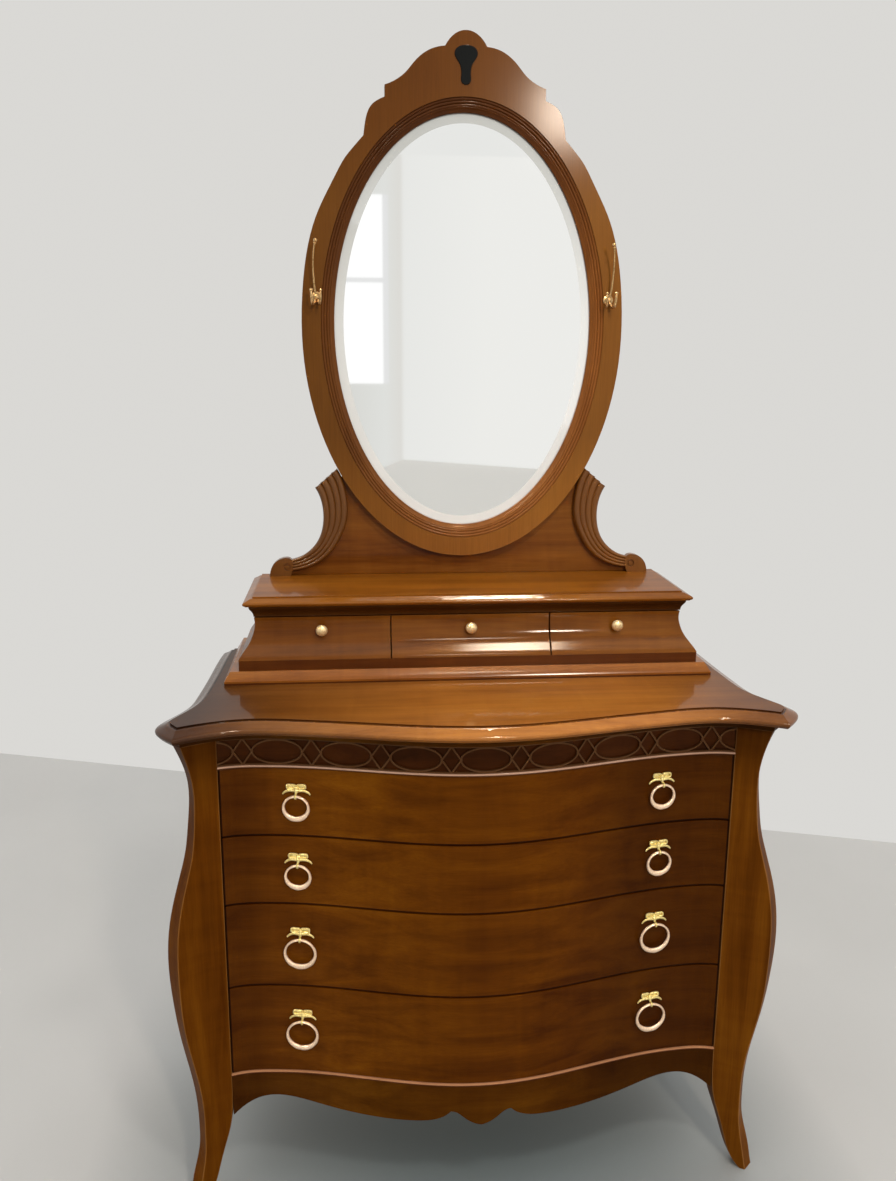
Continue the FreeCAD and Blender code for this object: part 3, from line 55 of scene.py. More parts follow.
RIGHTWARD = Vector((1, 0, 0))
BACKWARD = Vector((0, 1, 0))
UP = Vector((0, 0, 1))

BEHAVIOUR = frame["record"]["behaviour"]
BODY_OF = {node: body for body, nodes in BEHAVIOUR["bodies"].items() for node in nodes}
JOINT_OF = {joint["child"]: joint for joint in BEHAVIOUR["joints"]}

# ---------------------------------------------------------------- shader helpers


def new_material(name):
    """A material and its shader."""
    material = bpy.data.materials.new(name)
    material.use_nodes = True
    return material, material.node_tree.nodes["Principled BSDF"]


def set_or_link(tree, socket, value):
    """Give a socket a number or a colour of its own, or link it to another node's output."""
    if isinstance(value, (int, float)):
        socket.default_value = value
    elif isinstance(value, tuple):
        socket.default_value = (*value, 1)
    else:
        tree.links.new(value, socket)


def set_inputs(node, values):
    """Give a node's inputs values of their own, by their names."""
    for label, value in values.items():
        node.inputs[label].default_value = value


def math_node(tree, operation, *values):
    """Output of one sum; each value is a number or an output."""
    node = tree.nodes.new("ShaderNodeMath")
    node.operation = operation
    for socket, value in zip(node.inputs, values):
        set_or_link(tree, socket, value)
    return node.outputs[0]


def mixed(tree, factor, first, second, blend="MIX"):
    """First where the factor is 0; second where it is 1, or their product where the blend is MULTIPLY."""
    mix = tree.nodes.new("ShaderNodeMix")
    mix.data_type = "RGBA"
    mix.blend_type = blend
    for label, value in (("Factor", factor), ("A", first), ("B", second)):
        set_or_link(tree, mix.inputs[label], value)
    return mix.outputs["Result"]


def colour_ramp(tree, factor, stops):
    """Colours along a factor; a stop is (place, colour)."""
    ramp = tree.nodes.new("ShaderNodeValToRGB")
    elements = ramp.color_ramp.elements
    while len(elements) < len(stops):
        elements.new(0.5)
    for element, (place, colour) in zip(elements, stops):
        element.position = place
        element.color = (*colour, 1)
    tree.links.new(factor, ramp.inputs["Fac"])
    return ramp.outputs["Color"]


def noise_node(tree, vector, scale, detail, roughness=0.5, distortion=0.0):
    """Cloudy noise from 0 to 1."""
    noise = tree.nodes.new("ShaderNodeTexNoise")
    set_inputs(noise, {"Scale": scale, "Detail": detail, "Roughness": roughness, "Distortion": distortion})
    tree.links.new(vector, noise.inputs["Vector"])
    return noise.outputs["Fac"]


def mapped(tree, vector, scale=(1, 1, 1), offset=(0, 0, 0), turn=(0, 0, 0)):
    """A vector scaled, turned and moved."""
    mapping = tree.nodes.new("ShaderNodeMapping")
    set_inputs(mapping, {"Location": offset, "Rotation": turn, "Scale": scale})
    tree.links.new(vector, mapping.inputs["Vector"])
    return mapping.outputs["Vector"]


def split_vector(tree, vector):
    """X, Y and Z of a vector."""
    split = tree.nodes.new("ShaderNodeSeparateXYZ")
    tree.links.new(vector, split.inputs[0])
    return split.outputs["X"], split.outputs["Y"], split.outputs["Z"]


def object_vector(tree):
    """Where a point lies, in metres."""
    return tree.nodes.new("ShaderNodeTexCoord").outputs["Object"]


def inside(tree, value, low, high):
    """1 where the value lies between low and high, else 0."""
    over = math_node(tree, "GREATER_THAN", value, low)
    under = math_node(tree, "LESS_THAN", value, high)
    return math_node(tree, "MULTIPLY", over, under)


def swell(tree, value, middle, half):
    """1 at the middle, softly down to 0 at half the size from it."""
    away = math_node(tree, "DIVIDE", math_node(tree, "SUBTRACT", value, middle), half)
    share = math_node(tree, "SUBTRACT", 1.0, math_node(tree, "MULTIPLY", away, away))
    return math_node(tree, "MAXIMUM", share, 0.0)


# ---------------------------------------------------------------- shader groups

VECTOR_INPUT = ("Vector", "NodeSocketVector", None)
DIRECTION_INPUT = ("Direction", "NodeSocketVector", None)

# streaks, cloud and flame of the figure: stretch along and across the grain, detail, roughness, distortion,
# share of the tone
FIGURE_LAYERS = (
    ((0.07, 1.0, 1.0), 5, 0.6, 0.6, 0.58),
    ((0.12, 0.28, 0.28), 3, 0.5, 0.4, 0.30),
    ((0.9, 0.16, 0.16), 2, 0.5, 1.2, 0.12))
FIBRE_STRETCH = (14.0, 520.0, 520.0)
FIBRE_DETAIL = 3
FIBRE_ROUGHNESS = 0.6

# a casting's tones and pits: scale per metre, detail, roughness
CAST_TONES = (420.0, 3, 0.6)
CAST_PITS = (900.0, 2, 0.5)


def new_group(name, inputs, outputs):
    """A shader node group, with its input and output nodes."""
    group = bpy.data.node_groups.new(name, "ShaderNodeTree")
    for label, kind, value in inputs:
        socket = group.interface.new_socket(label, in_out="INPUT", socket_type=kind)
        if value is not None:
            socket.default_value = value
    for label in outputs:
        group.interface.new_socket(label, in_out="OUTPUT", socket_type="NodeSocketFloat")
    return group, group.nodes.new("NodeGroupInput"), group.nodes.new("NodeGroupOutput")


def placed_group(tree, group, vector, values):
    """Outputs of a group that is placed in a material with its own values."""
    node = tree.nodes.new("ShaderNodeGroup")
    node.node_tree = group
    tree.links.new(vector, node.inputs["Vector"])
    set_inputs(node, values)
    return node.outputs


def length_along(group, source):
    """How far the group's vector reaches along its direction."""
    along = group.nodes.new("ShaderNodeVectorMath")
    along.operation = "DOT_PRODUCT"
    group.links.new(source.outputs["Vector"], along.inputs[0])
    group.links.new(source.outputs["Direction"], along.inputs[1])
    return along.outputs["Value"]


def build_grain_group():
    """Figured wood whose grain runs along X of its vector: a tone from its layers, and fine fibres."""
    streak_input = ("Streak Width", "NodeSocketFloat", 0.03)
    group, source, sink = new_group("figured_grain", (VECTOR_INPUT, streak_input), ("Tone", "Fibre"))
    vector = source.outputs["Vector"]
    scaled = group.nodes.new("ShaderNodeVectorMath")
    scaled.operation = "SCALE"
    group.links.new(vector, scaled.inputs[0])
    group.links.new(math_node(group, "DIVIDE", 1.0, source.outputs["Streak Width"]), scaled.inputs["Scale"])
    tone = 0.0
    for stretch, detail, roughness, distortion, share in FIGURE_LAYERS:
        stretched = mapped(group, scaled.outputs[0], stretch)
        layer = noise_node(group, stretched, 1.0, detail, roughness, distortion)
        tone = math_node(group, "MULTIPLY_ADD", layer, share, tone)
    fibre = noise_node(group, mapped(group, vector, FIBRE_STRETCH), 1.0, FIBRE_DETAIL, FIBRE_ROUGHNESS)
    group.links.new(tone, sink.inputs["Tone"])
    group.links.new(fibre, sink.inputs["Fibre"])
    return group


def build_place_group():
    """How far a point lies along a direction: 0 at the start, 1 at the end."""
    limits = (("Start", "NodeSocketFloat", 0.0), ("End", "NodeSocketFloat", 1.0))
    group, source, sink = new_group("place_share", (VECTOR_INPUT, DIRECTION_INPUT, *limits), ("Share",))
    span = group.nodes.new("ShaderNodeMapRange")
    group.links.new(length_along(group, source), span.inputs["Value"])
    group.links.new(source.outputs["Start"], span.inputs["From Min"])
    group.links.new(source.outputs["End"], span.inputs["From Max"])
    group.links.new(span.outputs["Result"], sink.inputs["Share"])
    return group


def build_band_group():
    """1 where a point lies between two places along a direction, else 0."""
    limits = (("Low", "NodeSocketFloat", 0.0), ("High", "NodeSocketFloat", 1.0))
    group, source, sink = new_group("band_mask", (VECTOR_INPUT, DIRECTION_INPUT, *limits), ("Mask",))
    mask = inside(group, length_along(group, source), source.outputs["Low"], source.outputs["High"])
    group.links.new(mask, sink.inputs["Mask"])
    return group


def build_cast_group():
    """Mottled tone and small pits of a casting."""
    group, source, sink = new_group("cast_surface", (VECTOR_INPUT,), ("Tone", "Pits"))
    for label, (scale, detail, roughness) in (("Tone", CAST_TONES), ("Pits", CAST_PITS)):
        noise = noise_node(group, source.outputs["Vector"], scale, detail, roughness)
        group.links.new(noise, sink.inputs[label])
    return group


GRAIN = build_grain_group()
PLACE = build_place_group()
BAND = build_band_group()
CAST = build_cast_group()

# ---------------------------------------------------------------- finishes

# turn of the vector that lays the grain along X or along Z
GRAIN_TURNS = {"across": (0, 0, 0), "upright": (0, math.radians(90), 0)}
STAIN_STOPS = (0.36, 0.5, 0.64)
FIBRE_SHADES = ((0.35, (0.82, 0.80, 0.78)), (0.62, (1, 1, 1)))
FIBRE_SHARE = 0.7
WOOD_ROUGHNESS = 0.42
WOOD_TINT = (1.0, 0.72, 0.38, 1)
LACQUER_IOR = 1.4

# tones of a casting up to which the dark brass shows, and from which the light one does
DARK_UP_TO = 0.32
LIGHT_FROM = 0.6
PIT_STRENGTH = 0.25
PIT_DEPTH = 0.4 * MM

# band of the moulding round the glass and bevel of the glass within it, in millimetres
REED_BAND = 23
GLASS_BEVEL = 16
SILVER_TONE = (0.955, 0.96, 0.955)
# painted reflection on the bevel, pale at its foot and grey at its top: tones from its foot to its top, and
# how far they spread to both sides of the middle
BEVEL_PAINTED_REFLECTION = ((0.1, (0.98, 1.0, 1.0)), (0.5, (0.88, 0.91, 0.92)), (0.9, (0.58, 0.60, 0.59)))
BEVEL_REACH = 0.45
SILVER_ROUGHNESS = 0.02
BEVEL_ROUGHNESS = 0.05
BEVEL_METALLIC = 0.4


def wood_material(name, grain, stain, offset=(0, 0, 0), streak=0.03, gloss=0.10, coat=0.22, sheen=0.06,
                  bands=(), fades=(), rubbed=None):
    """Stained wood under lacquer.

    A tone ramp is (direction, start, end, shades along it); most tone ramps are painted light and shade
    along the piece. A band is (direction, low, high, shade): painted shade, or painted light on a nose. The
    rubbed part is (low, high, coat) by height.
    """
    material, shader = new_material(name)
    tree = material.node_tree
    vector = object_vector(tree)
    grain_vector = mapped(tree, vector, offset=offset, turn=GRAIN_TURNS[grain])
    figure = placed_group(tree, GRAIN, grain_vector, {"Streak Width": streak})
    colour = colour_ramp(tree, figure["Tone"], tuple(zip(STAIN_STOPS, stain)))
    fibres = colour_ramp(tree, figure["Fibre"], FIBRE_SHADES)
    colour = mixed(tree, FIBRE_SHARE, colour, fibres, "MULTIPLY")
    for direction, start, end, stops in fades:
        place = placed_group(tree, PLACE, vector, {"Direction": direction, "Start": start, "End": end})
        colour = mixed(tree, 1.0, colour, colour_ramp(tree, place["Share"], stops), "MULTIPLY")
    for direction, low, high, shade in bands:
        band = placed_group(tree, BAND, vector, {"Direction": direction, "Low": low, "High": high})
        colour = mixed(tree, band["Mask"], colour, shade, "MULTIPLY")
    tree.links.new(colour, shader.inputs["Base Color"])
    set_inputs(shader, {"Roughness": WOOD_ROUGHNESS, "Specular IOR Level": sheen, "Specular Tint": WOOD_TINT,
                        "Coat Weight": coat, "Coat IOR": LACQUER_IOR, "Coat Roughness": gloss})
    if rubbed:
        low, high, rubbed_coat = rubbed
        band = placed_group(tree, BAND, vector, {"Direction": UP, "Low": low, "High": high})
        lacquer = math_node(tree, "MULTIPLY_ADD", band["Mask"], rubbed_coat - coat, coat)
        tree.links.new(lacquer, shader.inputs["Coat Weight"])
    return material


def brass_material(name, light, dark, roughness, metallic):
    """Cast brass: bright where it is rubbed, browner in its small hollows."""
    material, shader = new_material(name)
    tree = material.node_tree
    cast = placed_group(tree, CAST, object_vector(tree), {})
    tones = colour_ramp(tree, cast["Tone"], ((DARK_UP_TO, dark), (LIGHT_FROM, light)))
    tree.links.new(tones, shader.inputs["Base Color"])
    bump = tree.nodes.new("ShaderNodeBump")
    set_inputs(bump, {"Strength": PIT_STRENGTH, "Distance": PIT_DEPTH})
    tree.links.new(cast["Pits"], bump.inputs["Height"])
    tree.links.new(bump.outputs["Normal"], shader.inputs["Normal"])
    set_inputs(shader, {"Metallic": metallic, "Roughness": roughness})
    return material


def mirror_material():
    """Silvered glass, softer and greyer on the bevel round its rim, where a painted reflection makes it pale
    at its foot and grey at its top.
    """
    glass_low, glass_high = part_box("mirror_glass")
    moulding_low, moulding_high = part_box("sight_moulding")
    rim_width = (REED_BAND + GLASS_BEVEL) * MM
    half_x = (moulding_high.x - moulding_low.x) / 2 - rim_width
    half_z = (moulding_high.z - moulding_low.z) / 2 - rim_width
    material, shader = new_material("silvered_glass")
    tree = material.node_tree
    x, _, z = split_vector(tree, object_vector(tree))
    across = math_node(tree, "DIVIDE", x, half_x)
    upward = math_node(tree, "SUBTRACT", z, (glass_low.z + glass_high.z) / 2)
    upward = math_node(tree, "DIVIDE", upward, half_z)
    reach = math_node(tree, "MULTIPLY_ADD", upward, upward, math_node(tree, "MULTIPLY", across, across))
    rim = math_node(tree, "GREATER_THAN", reach, 1.0)
    # painted reflection on the bevel
    bevel = colour_ramp(tree, math_node(tree, "MULTIPLY_ADD", upward, BEVEL_REACH, 0.5), BEVEL_PAINTED_REFLECTION)
    softer = math_node(tree, "MULTIPLY_ADD", rim, BEVEL_ROUGHNESS - SILVER_ROUGHNESS, SILVER_ROUGHNESS)
    tree.links.new(mixed(tree, rim, SILVER_TONE, bevel), shader.inputs["Base Color"])
    tree.links.new(softer, shader.inputs["Roughness"])
    tree.links.new(math_node(tree, "MULTIPLY_ADD", rim, BEVEL_METALLIC - 1, 1.0), shader.inputs["Metallic"])
    return material


# how much darker and lighter the streaks of a stain are, in red, green and blue
DARK_STREAKS = (0.42, 0.50, 0.55)
LIGHT_STREAKS = (0.38, 0.55, 0.70)


def shades(middle, spread=1.0):
    """Dark, middle and light stain of one finish; the dark streaks are redder."""
    dark = tuple(channel * (1 - share * spread) for channel, share in zip(middle, DARK_STREAKS))
    light = tuple(channel * (1 + share * spread) for channel, share in zip(middle, LIGHT_STREAKS))
    return dark, middle, light


STAINS = {
    "drawer": shades((0.118, 0.0315, 0.0014)),
    "apron": shades((0.084, 0.0250, 0.0020)),
    "post": shades((0.150, 0.042, 0.0024)),
    # paler stain on the rounded edges of the front posts: a painted highlight
    "painted_arris_highlight": shades((0.27, 0.105, 0.022), 0.4),
    "top": shades((0.255, 0.088, 0.012), 0.6),
    "gallery": shades((0.250, 0.080, 0.009), 0.95),
    "gallery_top": shades((0.220, 0.070, 0.005), 0.7),
    # the cornice's stain is dark also as painted shade under the gallery top
    "cornice": shades((0.055, 0.017, 0.0025)),
    "scroll": shades((0.150, 0.052, 0.0075), 0.5),
    "frame": shades((0.215, 0.075, 0.010), 0.22),
    "sight": shades((0.075, 0.022, 0.0045), 0.4),
    "frieze": ((0.024, 0.0060, 0.0012), (0.044, 0.0105, 0.0016), (0.064, 0.017, 0.003)),
    "fret": shades((0.104, 0.046, 0.018), 0.4),
    "bead": shades((0.56, 0.35, 0.25), 0.3),
    "plain": shades((0.42, 0.26, 0.13), 0.5),
    "ebonised": shades((0.0052, 0.0060, 0.0058), 0.3),
}

# tone ramps of the stains, which paint light and shade along the pieces: direction, start and end in
# metres, shades at shares of the way
# painted light and shade across the drawer fronts and the apron, dark at both ends
DRAWER_PAINTED_LIGHT = (RIGHTWARD, -0.4, 0.4, (
    (0.04, (0.60, 0.57, 0.55)), (0.09, (0.88, 0.90, 0.95)), (0.21, (1.20, 1.32, 1.1)),
    (0.31, (1.08, 1.16, 0.7)), (0.50, (0.82, 0.80, 0.5)), (0.59, (0.96, 0.97, 0.5)),
    (0.69, (0.78, 0.75, 0.4)), (0.79, (0.55, 0.53, 0.3)), (0.96, (0.52, 0.50, 0.35))))
# painted shade at both ends of the top, deepest at the left, and painted light across its middle
TOP_PAINTED_LIGHT = (RIGHTWARD, -0.5, 0.5, (
    (0.06, (0.15, 0.12, 0.10)), (0.22, (0.62, 0.60, 0.56)), (0.45, (1.14, 1.14, 1.15)),
    (0.75, (1.16, 1.16, 1.22)), (0.95, (0.48, 0.44, 0.42))))
# painted shade on the left scroll and painted light on the right one
SCROLL_PAINTED_LIGHT = (RIGHTWARD, -0.36, 0.36, ((0.0, (0.85, 0.85, 0.85)), (1.0, (1.15, 1.15, 1.2))))
# painted shade on the left post and light on the right one, and painted shadow under the top at the heads of
# the posts
POST_PAINTED_LIGHT = (
    (RIGHTWARD, -0.5, 0.5, ((0.0, (0.78, 0.80, 0.72)), (1.0, (0.88, 0.96, 1.15)))),
    (UP, 0.70, 0.84, ((0.0, (1, 1, 1)), (0.45, (0.68, 0.66, 0.7)), (0.8, (0.55, 0.52, 0.6)),
                      (0.9, (0.35, 0.32, 0.4)))))
# painted shade on the gallery, deepest at its left and towards its foot
GALLERY_PAINTED_LIGHT = (
    (RIGHTWARD, -0.42, 0.42, ((0.0, (0.64, 0.60, 0.45)), (0.5, (0.76, 0.78, 0.9)),
                              (1.0, (0.85, 0.90, 1.0)))),
    (UP, 0.88, 1.02, ((0.0, (0.84, 0.82, 0.75)), (0.7, (0.88, 0.87, 0.8)), (1.0, (1, 1, 1)))))
# painted light on the foot and right of the mirror frame, painted shade on its upper part and left
FRAME_PAINTED_LIGHT = (
    (UP, 1.03, 1.91, ((0.03, (1.24, 1.32, 1.6)), (0.10, (1.12, 1.2, 1.3)), (0.25, (0.74, 0.78, 0.9)),
                      (0.68, (0.77, 0.80, 0.85)), (0.84, (0.61, 0.56, 0.46)), (0.93, (0.56, 0.50, 0.42)))),
    (RIGHTWARD, -0.28, 0.28, ((0.0, (0.75, 0.73, 0.68)), (0.5, (1, 1, 1)), (1.0, (1.32, 1.36, 1.5)))))
# painted light on the moulding round the glass, strongest at its foot and right, and painted shade on its
# left
SIGHT_PAINTED_LIGHT = (
    (UP, 1.06, 1.81, ((0.0, (3.4, 4.2, 5.0)), (0.22, (2.1, 2.5, 2.8)), (0.5, (2.0, 2.3, 2.3)),
                      (0.9, (0.98, 0.98, 0.98)))),
    (RIGHTWARD, -0.25, 0.25, ((0.0, (0.80, 0.78, 0.75)), (0.5, (1, 1, 1)), (1.0, (1.75, 1.8, 1.8)))))

# bands of the stains, all painted shade and light: painted shadow on both sides of a gap between drawer
# fronts, in the quirks where a moulding meets a board, on the fascia of the gallery's base and under the
# beads; painted light on the nose of the top
GAP_PAINTED_SHADOW = (0.22, 0.14, 0.16)
GAP_BAND = 2.2 * MM
# painted shadow in the quirk at the edge of the top's field and along the foot of the gallery's base
QUIRK_PAINTED_SHADOW = (0.30, 0.24, 0.2)
QUIRK_WIDTH = 3 * MM
# painted shade on the fascia of the gallery's base
FASCIA_PAINTED_SHADE = (0.35, 0.27, 0.22)
FASCIA_HEIGHT = 17 * MM
# painted light on the nose of the top
NOSE_PAINTED_LIGHT = (1.35, 1.42, 1.7)
NOSE_FOOT = 4 * MM
FIELD_STEP = 2.5 * MM
FIELD_SKIN = 0.2 * MM
# painted shade on the lower part of each bead, below its lit top
BEAD_PAINTED_SHADE = (0.20, 0.12, 0.07)
BEAD_FOOT = 1.8 * MM
BEAD_LIGHT = 2.4 * MM
BEAD_HEIGHT = 6 * MM
MARGIN = 1 * MM

base_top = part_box("gallery_base")[1].z
board_low, board_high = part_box("chest_top")
shelf_low, shelf_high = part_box("gallery_top")
beads_low, beads_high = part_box("front_beads")
board_field = board_high.z - FIELD_STEP
shelf_field = shelf_high.z - FIELD_STEP
# painted shade on the fascia of the gallery's base and painted shadow along its foot
BASE_BANDS = (
    (UP, base_top - FASCIA_HEIGHT, base_top + MARGIN, FASCIA_PAINTED_SHADE),
    (UP, board_high.z - MARGIN, board_high.z + QUIRK_WIDTH, QUIRK_PAINTED_SHADOW))
# painted light on the nose of the top and painted shadow in the quirk at the edge of its field
TOP_BANDS = (
    (UP, board_low.z + NOSE_FOOT, board_field, NOSE_PAINTED_LIGHT),
    (UP, board_field, board_high.z - FIELD_SKIN, QUIRK_PAINTED_SHADOW))
# painted shade on the lower part of each bead
BEAD_BANDS = (
    (UP, beads_low.z - MARGIN, beads_low.z + BEAD_FOOT, BEAD_PAINTED_SHADE),
    (UP, beads_high.z - BEAD_HEIGHT, beads_high.z - BEAD_LIGHT, BEAD_PAINTED_SHADE))
BEAD_FADE = (UP, beads_low.z, beads_high.z, ((0.0, (0.92, 0.70, 0.48)), (1.0, (1, 1, 1))))


def drawer_gap_shadows():
    """Painted shadow lines along the gaps between the drawer fronts and at their ends."""
    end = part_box("drawer_1_front")[1].x
    lines = [(UP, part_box(f"drawer_{number}_front")[0].z) for number in range(1, 4)]
    lines += [(RIGHTWARD, end), (RIGHTWARD, -end)]
    return [(direction, place - GAP_BAND, place + GAP_BAND, GAP_PAINTED_SHADOW) for direction, place in lines]


def wood(name, grain, **lacquer):
    """A wood that is named for its stain."""
    return wood_material(f"{name}_wood", grain, STAINS[name], **lacquer)


WOODS = {
    "drawer": wood("drawer", "across", coat=0.035, bands=drawer_gap_shadows(), fades=(DRAWER_PAINTED_LIGHT,)),
    "apron": wood("apron", "across", coat=0.04, sheen=0.03, fades=(DRAWER_PAINTED_LIGHT,)),
    "post": wood("post", "upright", coat=0.015, sheen=0.02, fades=POST_PAINTED_LIGHT),
    "side": wood_material("side_wood", "upright", STAINS["post"], coat=0.015, sheen=0.02, offset=(3, 2, 1)),
    "top": wood("top", "across", coat=0.42, gloss=0.07, bands=TOP_BANDS, fades=(TOP_PAINTED_LIGHT,),
                rubbed=(board_low.z - MARGIN, board_field, 0.8)),
    "gallery": wood("gallery", "across", coat=0.30, gloss=0.07, fades=GALLERY_PAINTED_LIGHT),
    "gallery_top": wood("gallery_top", "across", coat=0.35, gloss=0.07,
                        rubbed=(shelf_low.z, shelf_field, 0.65)),
    "base": wood_material("gallery_base_wood", "across", STAINS["gallery"], coat=0.80, gloss=0.15,
                          bands=BASE_BANDS),
    "cornice": wood("cornice", "across", coat=0.12),
    "frame": wood("frame", "upright", streak=0.08, coat=0.25, gloss=0.13, fades=FRAME_PAINTED_LIGHT),
    "sight": wood("sight", "upright", coat=0.26, gloss=0.12, fades=SIGHT_PAINTED_LIGHT),
    "frieze": wood("frieze", "across", coat=0.05),
    "fret": wood("fret", "across", coat=0.08),
    "bead": wood("bead", "across", coat=0.3, bands=BEAD_BANDS, fades=(BEAD_FADE,)),
    "plain": wood("plain", "across", coat=0.0),
    "ebonised": wood("ebonised", "upright", coat=0.40, gloss=0.08, sheen=0.0),
    "scroll": wood("scroll", "upright", coat=0.7, gloss=0.16, sheen=0.3, fades=(SCROLL_PAINTED_LIGHT,)),
    # painted highlight on the rounded edges of the front posts
    "arris_highlight": wood("painted_arris_highlight", "upright", coat=0.1, fades=POST_PAINTED_LIGHT),
}
BOW_BRASS = brass_material("bow_brass", (0.93, 0.80, 0.36), (0.60, 0.45, 0.13), 0.36, 0.6)
RING_BRASS = brass_material("ring_brass", (1.0, 0.80, 0.60), (0.88, 0.58, 0.38), 0.36, 0.5)
KNOB_BRASS = brass_material("knob_brass", (0.96, 0.76, 0.44), (0.60, 0.40, 0.17), 0.34, 0.6)
HOOK_BRASS = brass_material("hook_brass", (0.80, 0.54, 0.26), (0.30, 0.16, 0.05), 0.28, 1.0)
SILVER = mirror_material()

# finish of each CAD node, by the start of its name
FINISHES = (
    ("front_post", WOODS["post"]), ("rear_post", WOODS["post"]), ("side_panel", WOODS["side"]),
    ("apron", WOODS["apron"]), ("front_beads", WOODS["bead"]), ("frieze_rail", WOODS["frieze"]),
    ("frieze_fret", WOODS["fret"]), ("chest_top", WOODS["top"]), ("top_moulding", WOODS["apron"]),
    ("gallery_base", WOODS["base"]), ("gallery_cornice", WOODS["cornice"]),
    ("gallery_top", WOODS["gallery_top"]), ("gallery_side", WOODS["gallery"]),
    ("gallery_drawer", WOODS["gallery"]), ("gallery_knob", KNOB_BRASS),
    ("mirror_support", WOODS["gallery"]), ("scroll", WOODS["scroll"]), ("mirror_frame", WOODS["frame"]),
    ("sight", WOODS["sight"]), ("mirror_glass", SILVER), ("mirror_hooks", HOOK_BRASS),
    ("crest_drop", WOODS["ebonised"]))

# finishes of the record's slots, apart from the polished wood
SLOTS = {
    "brass": (BOW_BRASS, RING_BRASS, KNOB_BRASS, HOOK_BRASS),
    "mirror": (SILVER,),
    "ebonised_wood": (WOODS["ebonised"],),
    "plain_wood": (WOODS["plain"],),
}


def finish_of(node):
    """The finish of a CAD node, by its name."""
    for start, finish in FINISHES:
        if node.startswith(start):
            return finish
    if node.endswith("_front"):
        return WOODS["drawer"]
    if node.endswith("_bows"):
        return BOW_BRASS
    return RING_BRASS if "_ring_" in node else WOODS["plain"]


# ---------------------------------------------------------------- making pieces

# points nearer than these become one, and faces that meet within the angle become one
WELD = 0.005 * MM
CAD_WELD = 0.02 * MM
FLAT_ANGLE = math.radians(0.6)


def finished(name, bm, smooth=True):
    """An object from a bmesh, its place in its mesh."""
    for face in bm.faces:
        face.smooth = smooth
    mesh = bpy.data.meshes.new(name)
    bm.to_mesh(mesh)
    bm.free()
    thing = bpy.data.objects.new(name, mesh)
    bpy.context.scene.collection.objects.link(thing)
    return thing


def cleaned(name, bm, smooth=True):
    """An object from a bmesh, welded and with its faces outwards."""
    bmesh.ops.remove_doubles(bm, verts=bm.verts, dist=WELD)
    bmesh.ops.recalc_face_normals(bm, faces=bm.faces)
    return finished(name, bm, smooth)


def stands_for(thing, node):
    """The piece takes the node's place: its finish and its body."""
    finish = finish_of(node)
    slots = [slot for slot, materials in SLOTS.items() if finish in materials]
    thing.data.materials.append(finish)
    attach(thing, BODY_OF[node])
    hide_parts(node)
    slots[0] if slots else "polished_wood"


def add_rounding(thing, width, angle):
    """Round the edges that are sharper than the angle."""
    rounding = thing.modifiers.new("rounding", "BEVEL")
    rounding.width = width
    rounding.segments = 2
    rounding.limit_method = "ANGLE"
    rounding.angle_limit = angle
    return rounding


def turn_angles(count):
    """Even steps of one full turn."""
    return [2 * math.pi * step / count for step in range(count)]


def sweep_into(bm, stations, sides=12, closed=False):
    """A bar through oval sections. A station is (centre, across, up, half across, half up)."""
    loops = []
    for centre, across, up, half_across, half_up in stations:
        ring = bmesh.ops.create_circle(bm, segments=sides, radius=1.0)["verts"]
        turn = Matrix((across * half_across, up * half_up, across.cross(up))).transposed().to_4x4()
        bmesh.ops.transform(bm, matrix=Matrix.Translation(centre) @ turn, verts=ring)
        edges = {edge for vert in ring for edge in vert.link_edges}
        loops.append(sorted(edges, key=lambda edge: edge.index))
    followers = loops[1:] + loops[:1] if closed else loops[1:]
    for first, second in zip(loops, followers):
        bmesh.ops.bridge_loops(bm, edges=first + second)
    if not closed:
        bmesh.ops.contextual_create(bm, geom=loops[0])
        bmesh.ops.contextual_create(bm, geom=loops[-1])


def bent_bar(bm, points, radii, sides=12, flat=1.0, side_way=None):
    """A round bar along points, or one that is thinner in the direction side_way."""
    stations = []
    for index, (point, radius) in enumerate(zip(points, radii)):
        before = points[max(index - 1, 0)]
        after = points[min(index + 1, len(points) - 1)]
        along = (after - before).normalized()
        helper = side_way if side_way is not None else (RIGHTWARD if abs(along.x) < 0.9 else UP)
        across = along.cross(helper).normalized()
        up = across.cross(along).normalized()
        stations.append((point, across, up, radius, radius * flat))
    sweep_into(bm, stations, sides)


def smooth_line(points, steps):
    """Points along a soft curve through the given ones."""
    line = []
    last = len(points) - 1
    for index in range(last):
        p0 = points[max(index - 1, 0)]
        p1, p2 = points[index], points[index + 1]
        p3 = points[min(index + 2, last)]
        for step in range(steps):
            t = step / steps
            line.append(0.5 * (2 * p1 + (p2 - p0) * t + (2 * p0 - 5 * p1 + 4 * p2 - p3) * t * t
                               + (3 * p1 - p0 - 3 * p2 + p3) * t * t * t))
    return line + [points[-1]]


def smooth_values(values, steps):
    """The numbers between the given ones, in even steps."""
    line = []
    for first, second in zip(values, values[1:]):
        line += [first + (second - first) * step / steps for step in range(steps)]
    return line + [values[-1]]


def turned_into(bm, centre, direction, profile, sides=24):
    """A turned form about an axis; the profile is (distance along, radius) in millimetres."""
    helper = UP if abs(direction.z) < 0.9 else RIGHTWARD
    across = direction.cross(helper).normalized()
    up = across.cross(direction).normalized()
    stations = [(centre + direction * along * MM, across, up, radius * MM, radius * MM)
                for along, radius in profile]
    sweep_into(bm, stations, sides)


def ball_into(bm, centre, radius, subdivisions):
    """A ball at a place."""
    ball = bmesh.ops.create_icosphere(bm, subdivisions=subdivisions, radius=radius)["verts"]
    bmesh.ops.translate(bm, verts=ball, vec=centre)


# ---------------------------------------------------------------- boards and gallery fronts

ROUNDING_ANGLE = math.radians(28)
